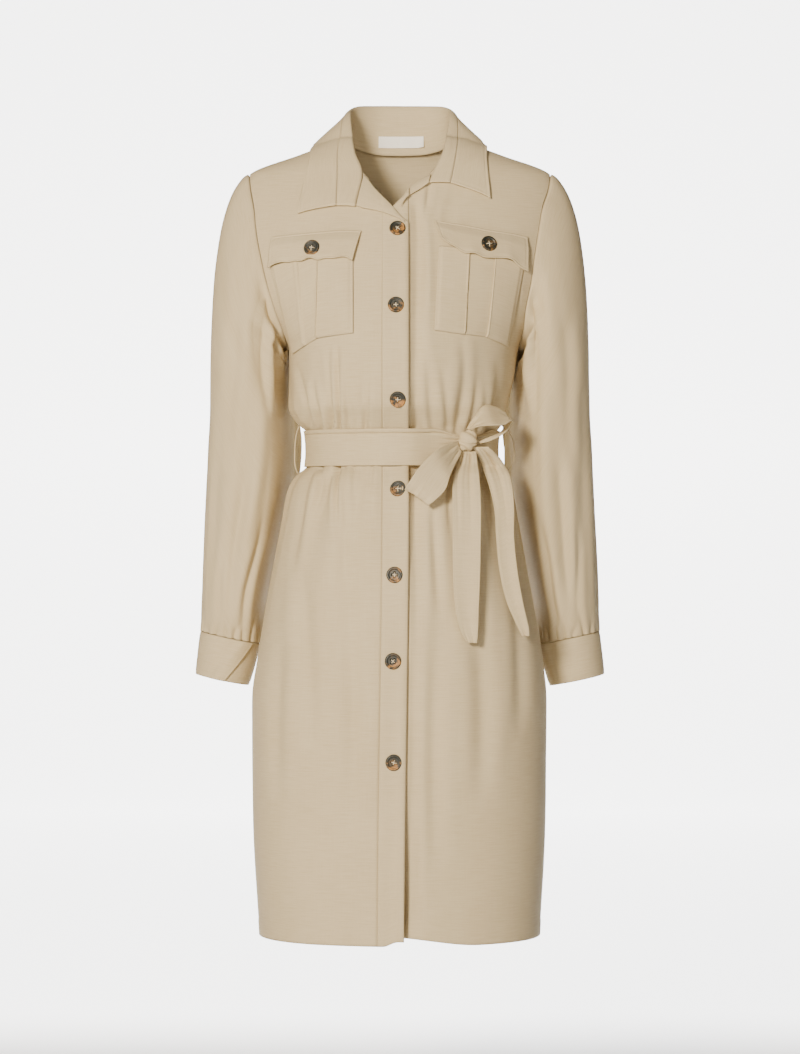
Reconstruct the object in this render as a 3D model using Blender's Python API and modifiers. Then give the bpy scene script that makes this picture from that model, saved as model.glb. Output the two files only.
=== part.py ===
"""Belted shirt dress, open at the neck, in the hollow form it keeps when it is worn.

Frame: +X is the wearer's left, -Y the front, +Z up. The origin lies between the high points of the
shoulders. Sizes are millimetres; mesh_object() turns them into metres. A "drop" is a distance below
the high point of the shoulder, so z = -drop. Right and left in the names are the wearer's.
"""
import math

import bpy
import numpy as np
from mathutils import Vector
from mathutils.bvhtree import BVHTree

MM = 0.001
CLOTH = 1.1            # wall of one layer of cloth
DOUBLE = 1.8           # wall of a doubled, interfaced piece
SEAM = 0.4             # space kept between pieces at a seam
LAP_RAISE = 2.7        # how far the right front stands proud where it laps over the left one
LAP_FADE = 42.0        # width over which that rise dies away
BAND_WIDTH = 31.0
CLOSURE_X = -5.5       # centre of the button bands
BAND_DRIFT = -5.5      # how far the closure wanders by the hem
UNDERARM = 262.0
HEM = 990.0
TIP_DROP = 44.0        # shoulder tip
WAIST_RIPPLES = 20
CUFF_RIPPLES = 10
BELT_TOP = 364.0
BELT_BOTTOM = 409.0
BELT_CLEAR = 3.0
KNOT = (82.0, -92.0, -378.0)
BELT_COLS = 48
BOW_WALL = 1.6


def table(names, rows):
    """Rows of numbers as named columns."""
    values = np.array(rows, dtype=float)
    return {name: values[:, i] for i, name in enumerate(names.split())}


BODY = table("drop right left front back square", [
    (0, 72, 72, 22, 54, 2.0),
    (20, 126, 126, 36, 70, 2.0),
    (44, 187, 187, 49, 80, 2.0),
    (60, 197, 197, 58, 86, 2.0),
    (85, 203, 203, 72, 93, 2.0),
    (110, 207, 205, 84, 98, 2.0),
    (150, 200, 198, 101, 103, 2.05),
    (200, 178, 180, 117, 105, 2.1),
    (240, 151, 158, 126, 102, 2.15),
    (262, 138, 147, 129, 100, 2.2),
    (300, 137, 141, 130, 96, 2.15),
    (333, 137, 132, 125, 92, 2.1),
    (352, 128, 127, 109, 87, 2.1),
    (366, 115, 120, 98, 83, 2.1),
    (388, 113, 118, 95, 81, 2.1),
    (408, 115, 119, 97, 83, 2.1),
    (424, 130, 132, 105, 92, 2.1),
    (440, 138, 139, 112, 99, 2.15),
    (475, 145, 146, 119, 109, 2.2),
    (520, 154, 155, 125, 119, 2.25),
    (575, 165, 165, 131, 128, 2.3),
    (640, 176, 176, 136, 134, 2.35),
    (700, 184, 182, 139, 137, 2.4),
    (840, 183, 181, 141, 138, 2.4),
    (990, 175, 174, 141, 138, 2.4),
])

# half width of each front at the armhole seam, and of the back
ARMHOLE = table("drop front_right front_left back_right back_left", [
    (44, 187, 187, 187, 187),
    (62, 185, 184, 184, 184),
    (90, 180, 175, 179, 178),
    (118, 177, 170, 175, 173),
    (150, 171, 165, 170, 168),
    (185, 163, 160, 163, 162),
    (215, 154, 154, 155, 157),
    (240, 145, 151, 146, 152),
    (262, 138, 147, 138, 147),
])

# soft folds: angle from the centre front in degrees at the top and the bottom of the fold
FOLDS = table("angle_top angle_bottom drop_top drop_bottom width depth", [
    (-44, -38, 290, 356, 5, -4.5),
    (-34, -30, 262, 360, 5, -3.0),
    (-54, -50, 330, 362, 4, -4.0),
    (-24, -20, 300, 358, 5, -2.5),
    (20, 17, 285, 358, 5, -3.0),
    (30, 26, 262, 360, 5, 3.0),
    (40, 36, 280, 358, 5, -4.5),
    (52, 46, 300, 360, 5, 3.0),
    (-40, -46, 412, 520, 5, -4.0),
    (-26, -30, 412, 560, 6, 3.0),
    (-16, -18, 412, 500, 4, -2.5),
    (22, 24, 412, 540, 5, -3.5),
    (34, 40, 412, 600, 7, 3.5),
    (48, 54, 412, 560, 6, -3.5),
    (70, 66, 412, 560, 6, -3.0),
    (-70, -66, 412, 560, 6, -3.0),
    (-140, -150, 200, 356, 8, -4.0),
    (-165, -172, 230, 358, 7, 3.0),
    (162, 168, 240, 358, 7, -3.5),
    (138, 146, 200, 358, 8, 3.5),
    (-150, -158, 412, 640, 9, 4.0),
    (-176, -178, 412, 600, 8, -3.5),
    (158, 164, 412, 660, 9, 4.0),
    (128, 134, 412, 560, 7, -3.5),
])

GATHER = table("drop depth", [
    (250, 0.0), (300, 0.6), (340, 1.8), (356, 2.0), (366, 0.5), (388, 0.4), (408, 0.5),
    (420, 2.2), (450, 2.0), (500, 1.2), (580, 0.4), (660, 0.0), (990, 0.0),
])

LOWER_ROWS = (262, 290, 320, 347, 364, 386, 409, 424, 450, 495, 560, 640, 740, 860, 990)
UPPER_ROWS = 8
BAND_TOP_ROWS = (80, 96, 112, 130, 150, 175, 205, 235)

# points where the collar seam and the roll line cross each front's edge
NECK = {
    -1: table("x drop", [(-21.3, 80), (-31, 68), (-40, 57), (-47, 48), (-57, 30), (-66, 13), (-72, 0)]),
    1: table("x drop", [(10.3, 70), (21, 59), (31, 54), (40, 48), (52, 34), (64, 14), (72, 0)]),
}


def monotone(at, xs, ys):
    """Smooth curve through the rows that never overshoots them (cubic Hermite, harmonic slopes)."""
    xs, ys = np.asarray(xs, float), np.asarray(ys, float)
    at = np.clip(np.asarray(at, float), xs[0], xs[-1])
    run = np.diff(xs)
    rise = np.diff(ys) / run
    slope = np.zeros(len(xs))
    slope[0], slope[-1] = rise[0], rise[-1]
    both = rise[:-1] * rise[1:] > 0
    w1 = 2 * run[1:] + run[:-1]
    w2 = run[1:] + 2 * run[:-1]
    safe = np.where(both, rise[:-1] * rise[1:], 1.0)
    mean = (w1 + w2) * safe / np.where(both, w1 * rise[1:] + w2 * rise[:-1], 1.0)
    slope[1:-1] = np.where(both, mean, 0.0)
    k = np.clip(np.searchsorted(xs, at, side="right") - 1, 0, len(run) - 1)
    t = (at - xs[k]) / run[k]
    return (ys[k] * (2 * t**3 - 3 * t**2 + 1) + slope[k] * run[k] * (t**3 - 2 * t**2 + t)
            + ys[k + 1] * (3 * t**2 - 2 * t**3) + slope[k + 1] * run[k] * (t**3 - t**2))


def smooth(t):
    """Ease from 0 to 1."""
    t = np.clip(t, 0.0, 1.0)
    return t * t * (3 - 2 * t)


def spline(points, count):
    """Catmull-Rom curve through the points, resampled to count points evenly spread in parameter."""
    p = np.asarray(points, float)
    ends = np.vstack([2 * p[0] - p[1], p, 2 * p[-1] - p[-2]])
    u = np.linspace(0, len(p) - 1, count)
    k = np.minimum(u.astype(int), len(p) - 2)
    t = (u - k)[:, None]
    a, b, c, d = ends[k], ends[k + 1], ends[k + 2], ends[k + 3]
    return 0.5 * (2 * b + (c - a) * t + (2 * a - 5 * b + 4 * c - d) * t**2 + (3 * b - a - 3 * c + d) * t**3)


# ---------------------------------------------------------------- the body's surface

def body_size(angle, drop, column):
    """Half width on the side the angle lies on, or another column of BODY, at each drop."""
    if column != "side":
        return monotone(drop, BODY["drop"], BODY[column])
    right = monotone(drop, BODY["drop"], BODY["right"])
    left = monotone(drop, BODY["drop"], BODY["left"])
    return np.where(np.sin(angle) < 0, right, left)


def fold_depth(angle, drop):
    """Height of the waist gathers and of the named folds; angles in radians."""
    degrees = np.degrees(angle)
    ripple = np.sin(WAIST_RIPPLES * angle + 0.7 * np.sin(3 * angle) + 0.5)
    height = ripple * monotone(drop, GATHER["drop"], GATHER["depth"])
    for a0, a1, d0, d1, width, depth in zip(*(FOLDS[k] for k in FOLDS)):
        along = np.clip((drop - d0) / (d1 - d0), -0.3, 1.3)
        centre = a0 + (a1 - a0) * np.clip(along, 0, 1)
        near_belt = 0.35 + 0.65 * np.where(drop < 388, np.clip(along, 0, 1), 1 - np.clip(along, 0, 1))
        ends = smooth((drop - d0 + 25) / 40) * smooth((d1 + 25 - drop) / 40)
        away = np.abs((degrees - centre + 180) % 360 - 180) / width
        held = 1 - 0.9 * smooth((36 - np.abs(drop - 386.5)) / 12)
        height = height + depth * near_belt * ends * held * np.exp(-away**2)
    return height


def body_point(angle, drop, lift=0.0):
    """Point of the body's surface: a squared ellipse whose half sizes follow BODY, plus the folds.

    angle is 0 at the centre front and +90 degrees at the wearer's left side."""
    angle, drop = np.broadcast_arrays(np.asarray(angle, float), np.asarray(drop, float))
    power = monotone(drop, BODY["drop"], BODY["square"])
    side = body_size(angle, drop, "side")
    depth = np.where(np.cos(angle) > 0, body_size(angle, drop, "front"), body_size(angle, drop, "back"))
    s, c = np.sin(angle), np.cos(angle)
    x = side * np.sign(s) * np.abs(s) ** (2 / power)
    y = -depth * np.sign(c) * np.abs(c) ** (2 / power)
    nx = np.sign(x) * np.abs(x / side) ** (power - 1) / side
    ny = np.sign(y) * np.abs(y / depth) ** (power - 1) / depth
    size = np.hypot(nx, ny) + 1e-9
    away = fold_depth(angle, drop) + lift
    return np.stack([x + nx / size * away, y + ny / size * away, -drop], axis=-1)


def angle_at(x, drop, back=False):
    """Angle at which the body's surface has this x."""
    x, drop = np.broadcast_arrays(np.asarray(x, float), np.asarray(drop, float))
    power = monotone(drop, BODY["drop"], BODY["square"])
    side = np.where(x < 0, monotone(drop, BODY["drop"], BODY["right"]),
                    monotone(drop, BODY["drop"], BODY["left"]))
    front = np.sign(x) * np.arcsin(np.clip(np.abs(x) / side, 0, 1) ** (power / 2))
    return np.sign(x) * np.pi - front if back else front


def body_ratio(points):
    """1 on the body's surface, less inside it: how far out each point lies in its own section."""
    drop = -points[..., 2]
    power = monotone(drop, BODY["drop"], BODY["square"])
    x, y = points[..., 0], points[..., 1]
    side = np.where(x < 0, monotone(drop, BODY["drop"], BODY["right"]),
                    monotone(drop, BODY["drop"], BODY["left"]))
    depth = np.where(y < 0, monotone(drop, BODY["drop"], BODY["front"]),
                     monotone(drop, BODY["drop"], BODY["back"]))
    return (np.abs(x / side) ** power + np.abs(y / depth) ** power) ** (1 / power)


def clear_of_body(points, gap):
    """Points moved straight out until they lie at least gap off the body; above the shoulders they stay."""
    moved = np.array(points, float)
    reach = gap * smooth((10 - moved[..., 2]) / 10)
    for _ in range(6):
        ratio = body_ratio(moved)
        slope = np.stack([body_ratio(moved + step) - ratio for step in 0.5 * np.eye(3)], axis=-1) / 0.5
        steep = np.linalg.norm(slope, axis=-1)
        away = (ratio - 1) / steep
        push = np.where(moved[..., 2] < 2, np.maximum(reach - away, 0), 0)
        moved = moved + slope / steep[..., None] * push[..., None]
    return moved


def closure(drop):
    """x of the centre of the button bands."""
    return CLOSURE_X + BAND_DRIFT * smooth((np.asarray(drop, float) - 450) / (HEM - 450))


def lap(x, drop):
    """Rise of the right front towards the band that laps over the left one."""
    edge = closure(drop) - BAND_WIDTH / 2
    return LAP_RAISE * smooth((x - edge + LAP_FADE) / LAP_FADE)


# ---------------------------------------------------------------- mesh helpers

def clear_scene():
    for item in list(bpy.data.objects):
        bpy.data.objects.remove(item, do_unlink=True)


def collection(name):
    group = bpy.data.collections.new(name)
    bpy.context.scene.collection.children.link(group)
    return group


def material(name, colour, roughness):
    """Principled material of one colour."""
    made = bpy.data.materials.new(name)
    made.use_nodes = True
    shader = made.node_tree.nodes["Principled BSDF"]
    shader.inputs["Base Color"].default_value = (*colour, 1.0)
    shader.inputs["Roughness"].default_value = roughness
    shader.inputs["Metallic"].default_value = 0.0
    return made


def mesh_object(name, points, faces, finish):
    """Named object from points in millimetres, smooth shaded, in the garment's collection."""
    mesh = bpy.data.meshes.new(name)
    mesh.from_pydata([tuple(p) for p in np.asarray(points, float) * MM], [], faces)
    mesh.shade_smooth()
    mesh.materials.append(finish)
    made = bpy.data.objects.new(name, mesh)
    GARMENT.objects.link(made)
    return made


def grid_faces(rows, cols, wrap=False):
    """Quads of a grid whose rows run along the first index."""
    last = cols if wrap else cols - 1
    return [(i * cols + j, i * cols + (j + 1) % cols, (i + 1) * cols + (j + 1) % cols, (i + 1) * cols + j)
            for i in range(rows - 1) for j in range(last)]


def sheet(name, grid, finish, wall=CLOTH, side=1.0, wrap=False, outward=None):
    """Cloth wall on a grid of points: side 1 grows along the surface's outward normal, -1 against it.

    outward is a point or direction test that decides which way the faces turn: a function of the
    face centres and normals that gives a positive number where a face points out."""
    rows, cols = grid.shape[:2]
    faces = grid_faces(rows, cols, wrap)
    points = grid.reshape(-1, 3)
    corners = points[np.array(faces)]
    normals = np.cross(corners[:, 2] - corners[:, 0], corners[:, 3] - corners[:, 1])
    centres = corners.mean(axis=1)
    if outward is not None and np.sum(outward(centres, normals)) < 0:
        faces = [tuple(reversed(f)) for f in faces]
    made = mesh_object(name, points, faces, finish)
    shell = made.modifiers.new("Cloth", "SOLIDIFY")
    shell.thickness = wall * MM
    shell.offset = side
    shell.use_even_offset = False
    shell.use_quality_normals = True
    return made


def from_axis(centres, normals):
    """Positive where faces point away from the body's upright axis."""
    return normals[:, 0] * centres[:, 0] + normals[:, 1] * centres[:, 1] + 0.001 * normals[:, 2]


def facing_front(centres, normals):
    return -normals[:, 1]


def tree_of(*objects):
    """Search tree over the finished surfaces of objects, in millimetres."""
    points, faces = [], []
    scene_now = bpy.context.evaluated_depsgraph_get()
    for item in objects:
        done = item.evaluated_get(scene_now).to_mesh()
        start = len(points)
        points += [v.co / MM for v in done.vertices]
        faces += [tuple(start + i for i in p.vertices) for p in done.polygons]
    return BVHTree.FromPolygons(points, faces)


def front_normal(x, z):
    """Outward normal of the smooth front at x, z."""
    x = np.asarray(x, float)
    drop = -np.asarray(z, float)
    angle = angle_at(x, drop)
    a = body_point(angle, drop) - body_point(angle + 0.02, drop)
    b = body_point(angle, drop + 1.0) - body_point(angle, drop)
    n = np.cross(b, a)
    n = n / np.linalg.norm(n, axis=-1, keepdims=True)
    return np.where(n[..., 1:2] > 0, -n, n)


def lay_on(tree, x, z, lift):
    """Points on the front of the surfaces in tree, seen from the front at x and z, then moved out."""
    x, z, lift = np.broadcast_arrays(*(np.asarray(v, float) for v in (x, z, lift)))
    flat = []
    for px, pz in zip(x.ravel(), z.ravel()):
        hit = tree.ray_cast(Vector((px, -600.0, pz)), Vector((0, 1, 0)))
        if hit[0] is None:
            guess = body_point(angle_at(px, -pz), -pz)
            hit = tree.find_nearest(Vector(guess))
        flat.append((px, hit[0].y, pz))
    on = np.array(flat).reshape(x.shape + (3,))
    return on + front_normal(x, z) * lift[..., None]


def seat_against(points, tree, direction, gap):
    """Points moved together along a direction until the nearest of them is gap off the tree."""
    direction = np.asarray(direction, float) / np.linalg.norm(direction)
    moved = np.array(points, float)
    for _ in range(40):
        space = min(tree.find_nearest(Vector(p))[3] for p in moved.reshape(-1, 3)) - gap
        moved = moved + direction * space
    return moved


# ---------------------------------------------------------------- panels

def patch(bottom, top, left, right):
    """Coons patch between four edges in (angle, drop): bottom and top run across, left and right up."""
    s = np.linspace(0, 1, len(bottom))[None, :, None]
    t = np.linspace(0, 1, len(left))[:, None, None]
    return ((1 - t) * bottom[None] + t * top[None] + (1 - s) * left[:, None] + s * right[:, None]
            - (1 - s) * (1 - t) * bottom[0] - s * (1 - t) * bottom[-1]
            - (1 - s) * t * top[0] - s * t * top[-1])


def edge_samples(knots, count, share=None):
    """Points along a polyline of (angle, drop) knots through a spline; share sets their spacing."""
    fine = spline(knots, 400)
    u = np.linspace(0, 1, count) if share is None else share
    place = np.linspace(0, 1, 400)
    return np.stack([np.interp(u, place, fine[:, k]) for k in range(2)], axis=-1)


def armhole_edge(side, back, count):
    """Armhole from the underarm up to the shoulder tip as (angle, drop)."""
    drops = np.array([262, 250, 235, 216, 192, 165, 135, 105, 78, 57, 44], float)
    drops = np.interp(np.linspace(0, 1, count), np.linspace(0, 1, len(drops)), drops)
    name = ("back_" if back else "front_") + ("right" if side < 0 else "left")
    x = side * monotone(drops, ARMHOLE["drop"], ARMHOLE[name])
    angle = angle_at(x, drops, back)
    angle[0] = angle[-1] = side * np.pi / 2
    return np.stack([angle, drops], axis=-1)


def ridge(side, count):
    """Shoulder seam from the neck out to the tip as (angle, drop)."""
    return np.stack([np.full(count, side * np.pi / 2), np.linspace(0, TIP_DROP, count)], axis=-1)


def front_edge(side, drop):
    """x of the seam between a front and its band."""
    return closure(drop) + side * (BAND_WIDTH / 2 + 0.3)


def front_panel(side):
    """Grid of one front, hem first, as points; columns run from the band to the side."""
    cols = 19
    drops = np.array(LOWER_ROWS[::-1], float)
    s = np.linspace(0, 1, cols)
    inner = angle_at(front_edge(side, drops), drops)
    lower = np.stack([inner[:, None] + (side * np.pi / 2 - inner[:, None]) * s,
                      np.repeat(drops[:, None], cols, axis=1)], axis=-1)
    knots = NECK[side]
    neck_angle = angle_at(knots["x"], knots["drop"])
    neck_angle[-1] = side * np.pi / 2
    neck_cols = 9
    neck = edge_samples(np.stack([neck_angle, knots["drop"]], axis=-1), neck_cols)
    top = np.vstack([neck, ridge(side, cols - neck_cols + 1)[1:]])
    start = knots["drop"][0]
    up = np.linspace(UNDERARM, start, UPPER_ROWS + 1)
    left = np.stack([angle_at(front_edge(side, up), up), up], axis=-1)
    upper = patch(lower[-1], top, left, armhole_edge(side, False, UPPER_ROWS + 1))
    upper[-1] = top
    both = np.vstack([lower, upper[1:]])
    points = body_point(both[..., 0], both[..., 1])
    if side < 0:
        rise = lap(points[..., 0], both[..., 1])
        points[..., 1] -= rise
    return points


def back_panel():
    """Grid of the back, hem first; columns run from the right side seam to the left one."""
    cols = 33
    drops = np.array(LOWER_ROWS[::-1], float)
    angles = np.linspace(-np.pi / 2, -3 * np.pi / 2, cols)
    lower = np.stack(np.meshgrid(angles, drops), axis=-1)
    neck_cols = 15
    side_cols = (cols - neck_cols) // 2 + 1
    right = ridge(-1, side_cols)[::-1]
    across = np.linspace(-np.pi / 2, -3 * np.pi / 2, neck_cols)
    neck = np.stack([across, 8 * np.abs(np.cos(across)) ** 0.8], axis=-1)
    left = np.stack([np.full(side_cols, -3 * np.pi / 2), np.linspace(0, TIP_DROP, side_cols)], axis=-1)
    top = np.vstack([right, neck[1:-1], left])
    edge_right = armhole_edge(-1, True, UPPER_ROWS + 1)
    edge_left = armhole_edge(1, True, UPPER_ROWS + 1)
    edge_left[:, 0] -= 2 * np.pi
    upper = patch(lower[-1], top, edge_right, edge_left)
    both = np.vstack([lower, upper[1:]])
    return body_point(both[..., 0], both[..., 1])


def shrink_edges(grid, top=0.0, first=0.0, last=0.0, bottom=0.0):
    """Draw the grid's border in along its own rows and columns, to leave the space of a seam."""
    moved = grid.copy()

    def pull(edge, inner, distance):
        gap = inner - edge
        return edge + gap / np.linalg.norm(gap, axis=-1, keepdims=True) * distance

    if first:
        moved[:, 0] = pull(grid[:, 0], grid[:, 1], first)
    if last:
        moved[:, -1] = pull(grid[:, -1], grid[:, -2], last)
    if top:
        moved[-1] = pull(moved[-1], moved[-2], top)
    if bottom:
        moved[0] = pull(moved[0], moved[1], bottom)
    return moved


def band_grid(drops_left, drops_right, rows, lift):
    """Band strip: columns from its right edge to its left one, slanted at the top by two drops."""
    cols = 3
    grid = []
    for j, part in enumerate(np.linspace(-0.5, 0.5, cols)):
        start = drops_left + (drops_right - drops_left) * j / (cols - 1)
        rows_here = np.array(rows, float)
        upper = rows_here <= UNDERARM
        scaled = start + (rows_here - rows_here[0]) / (UNDERARM - rows_here[0]) * (UNDERARM - start)
        drop = np.where(upper, scaled, rows_here)
        x = closure(drop) + part * BAND_WIDTH
        point = body_point(angle_at(x, drop), drop)
        point[:, 1] -= lift
        grid.append(point)
    return np.stack(grid, axis=1)


# ---------------------------------------------------------------- sleeves

SLEEVE = table("drop outer right left hug middle half_depth tilt", [
    (300, 236.5, 142, 143, 28, 6, 56, 2),
    (345, 237.5, 138, 143, 24, 14, 57, 3),
    (390, 240.5, 136, 144, 24, 21, 56, 4),
    (440, 243, 141, 146, 20, 29, 54, 5),
    (500, 246, 153, 155, 8, 38, 51, 7),
    (560, 249, 166, 166, 0, 46, 47, 9),
    (600, 251, 174, 174, 0, 52, 44, 10),
    (622, 252, 177, 177, 0, 56, 41, 12),
])
SLEEVE_ROWS = (300, 335, 370, 410, 455, 505, 555, 590, 610, 623)
SLEEVE_COLS = 32
HUG_TURN = 0.63        # where round the sleeve it presses in behind the waist
HUG_WIDTH = 0.07
SLEEVE_GAP = 5.0
CUFF = table("drop outer right left hug middle half_depth tilt", [
    (623.8, 252.5, 177.5, 177.5, 0, 56, 40.5, 12),
    (651, 256, 182, 182, 0, 58, 39.5, 12),
    (677, 259, 187, 187, 0, 60, 38.5, 12),
])


def ring(side, drop, rows, turn, swell=0.0):
    """Oval ring of a sleeve: turn 0 is its outer side, a quarter its front, a half its inner side."""
    size = {k: monotone(drop, rows["drop"], rows[k]) for k in rows if k != "drop"}
    inner = size["right"] if side < 0 else size["left"]
    half = (size["outer"] - inner) / 2 + swell
    across = -np.cos(2 * np.pi * turn) * half
    hug = size["hug"] * np.exp(-((turn - HUG_TURN) / HUG_WIDTH) ** 2)
    x = -(size["outer"] + inner) / 2 + across + hug
    y = size["middle"] - np.sin(2 * np.pi * turn) * (size["half_depth"] + swell)
    z = -drop - across * np.tan(np.radians(size["tilt"]))
    return np.stack([-side * x, y, z], axis=-1)


def armhole_loop(side, front, back, count):
    """Closed loop of seam points: shoulder tip, down the front, underarm, up the back."""
    down = front[:, -1][::-1]
    up = back[:, 0 if side < 0 else -1]
    loop = np.vstack([down[:UPPER_ROWS + 1], up[-(UPPER_ROWS + 1):][1:]])
    places = np.linspace(0, 1, len(loop))
    turns = np.linspace(0, 1, count, endpoint=False)
    return np.stack([np.interp(turns, places, loop[:, k]) for k in range(3)], axis=-1), turns


def sleeve_grid(side, front, back):
    """Sleeve from the armhole to the cuff: a Hermite blend to the first ring, then the rings."""
    loop, turns = armhole_loop(side, front, back, SLEEVE_COLS)
    wave = turns * 2 * np.pi
    outward = np.stack([side * np.ones_like(turns), -0.15 * np.sin(wave), 0 * turns], axis=-1)
    start = loop + outward * (CLOTH + SEAM)
    start[:, 2] += 0.5 * np.cos(wave)
    leave = np.stack([side * (60 + 75 * (0.5 + 0.5 * np.cos(wave))),
                      -34 * np.sin(wave),
                      -60 - 55 * np.abs(np.sin(wave / 2) * np.cos(wave / 2)) * 2], axis=-1)
    leave[:, 0] *= np.where(np.cos(wave) < -0.3, 0.55, 1.0)
    leave[:, 0] -= side * 52 * np.exp(-((turns - 0.58) / 0.07) ** 2)
    end = ring(side, np.float64(SLEEVE_ROWS[0]), SLEEVE, turns)
    arrive = (ring(side, np.float64(SLEEVE_ROWS[0] + 10), SLEEVE, turns) - end) / 10
    reach = np.linalg.norm(end - start, axis=-1, keepdims=True)
    rows = [start]
    for t in (0.06, 0.16, 0.32, 0.5, 0.68, 0.85):
        rows.append((2 * t**3 - 3 * t**2 + 1) * start + (t**3 - 2 * t**2 + t) * leave
                    + (3 * t**2 - 2 * t**3) * end + (t**3 - t**2) * arrive * reach)
    for drop in SLEEVE_ROWS:
        near_cuff = float(smooth((drop - 560) / 60))
        swell = 1.6 * near_cuff * np.sin(2 * np.pi * CUFF_RIPPLES * turns)
        swell = swell - 2.5 * np.exp(-((turns - 0.36) / 0.05) ** 2) * (1 - near_cuff)
        rows.append(ring(side, np.float64(drop), SLEEVE, turns, swell))
    grid = np.stack(rows)
    below = smooth((-grid[1:, :, 2] - UNDERARM) / 12)
    grid[1:] = clear_of_body(grid[1:], SLEEVE_GAP * below - 99 * (1 - below))
    return grid


def cuff_grid(side):
    """Cuff band that laps over its own end by a sixteenth of a turn."""
    turns = np.linspace(0.40, 1.46, 26)
    over = 3.0 * smooth((turns - 1.36) / 0.04)
    rows = [ring(side, np.float64(d), CUFF, turns, over) for d in CUFF["drop"][::-1]]
    return np.stack(rows)


# ---------------------------------------------------------------- collar

# seam: neck seam; roll: top fold; join: stand to leaf; edge: outer edge of the leaf
COLLAR = {
    -1: table("seam_x seam_y seam_z roll_x roll_y roll_z join_x join_y join_z edge_x edge_y edge_z", [
        (0, 61.5, -6, 0, 73, 51, 0, 80, 46, 0, 89, -13),
        (-28, 58.5, -5, -30, 70, 50.5, -31, 77, 46, -36, 88, -14),
        (-50, 45, -3, -52, 56, 48, -56, 62, 43, -72, 76, -16),
        (-64, 24, 0, -61, 35, 41, -68, 37, 36, -98, 46, -13),
        (-69, 2, 2.5, -62, 11, 31, -72, 11, 26, -108, 3, -6.5),
        (-66, -12, -5, -60, -9, 10, -74, -10, 4, -112, -26, -31),
        (-56, -30, -25, -56, -33, -22, -76, -30, -28, -117, -42, -55),
        (-49, -52, -46, -47.5, -55, -47, -77, -53, -55, -123, -58, -80),
        (-57, -73, -91, -55, -76, -91, -78, -74, -89, -126, -66, -99),
    ]),
    1: table("seam_x seam_y seam_z roll_x roll_y roll_z join_x join_y join_z edge_x edge_y edge_z", [
        (0, 61.5, -6, 0, 73, 51, 0, 80, 46, 0, 89, -13),
        (28, 58.5, -5, 30, 70, 50.5, 31, 77, 46, 36, 88, -14),
        (50, 45, -3, 52, 56, 48, 56, 62, 43, 72, 76, -16),
        (64, 24, 0, 62, 35, 41, 69, 37, 36, 98, 46, -13),
        (69, 2, 2.5, 62.5, 11, 31, 72, 11, 26, 107, 3, -6.5),
        (66, -12, -5, 59, -9, 8, 72, -10, 3, 107, -24, -24),
        (56, -30, -25, 53, -31, -21, 69, -31, -22, 108, -40, -44),
        (44, -50, -45, 42, -52, -45, 66, -46, -42, 109, -49, -62),
        (37, -59, -61, 36, -61, -60, 62, -58, -61, 110, -57, -82),
    ]),
}
COLLAR_COLS = 15
STAND_GAPS = (2.4, 2.4, 2.6, 3.0, 4.0, 5.2, 4.8)
LEAF_GAPS = (4.8, 4.6, 4.2, 3.8, 3.2, 2.6)


def collar_curve(side, name, count):
    """Smooth guide curve of the collar from the centre back to one front end."""
    rows = COLLAR[side]
    return spline(np.stack([rows[f"{name}_{k}"] for k in "xyz"], axis=-1), count)


def whole_collar(name):
    """Guide curve from the right front end, round the back, to the left front end."""
    right = collar_curve(-1, name, COLLAR_COLS)[::-1]
    left = collar_curve(1, name, COLLAR_COLS)
    return np.vstack([right, left[1:]])


def collar_grids():
    """Stand and leaf as grids across the collar, sharing the fold between them, clear of the body."""
    seam, roll, join, edge = (whole_collar(k) for k in ("seam", "roll", "join", "edge"))
    lean = np.array([0.0, 0.0, 1.0])
    rise = np.linalg.norm(roll - seam, axis=-1, keepdims=True)
    stand = [seam + (roll - seam) * t for t in (0.0, 0.3, 0.62, 0.88)]
    crown = 0.5 * (roll + join) + lean * np.minimum(0.06 * rise, 2.2)
    stand += [roll + lean * np.minimum(0.02 * rise, 1.0), crown, join]
    stand = np.stack(stand)
    away = edge - join
    length = np.linalg.norm(away, axis=-1, keepdims=True)
    out = join - roll
    out = out / np.maximum(np.linalg.norm(out, axis=-1, keepdims=True), 1e-6)
    leaf = [join + away / length * 0.5 + (away - away / length * 0.5) * t + out * 5.0 * np.sin(np.pi * t)
            * (0.6 + 0.4 * t) for t in (0.0, 0.16, 0.36, 0.6, 0.82, 1.0)]
    return (clear_of_body(stand, np.array(STAND_GAPS)[:, None]),
            clear_of_body(np.stack(leaf), np.array(LEAF_GAPS)[:, None]))


# ---------------------------------------------------------------- pockets, flaps, facings

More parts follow.
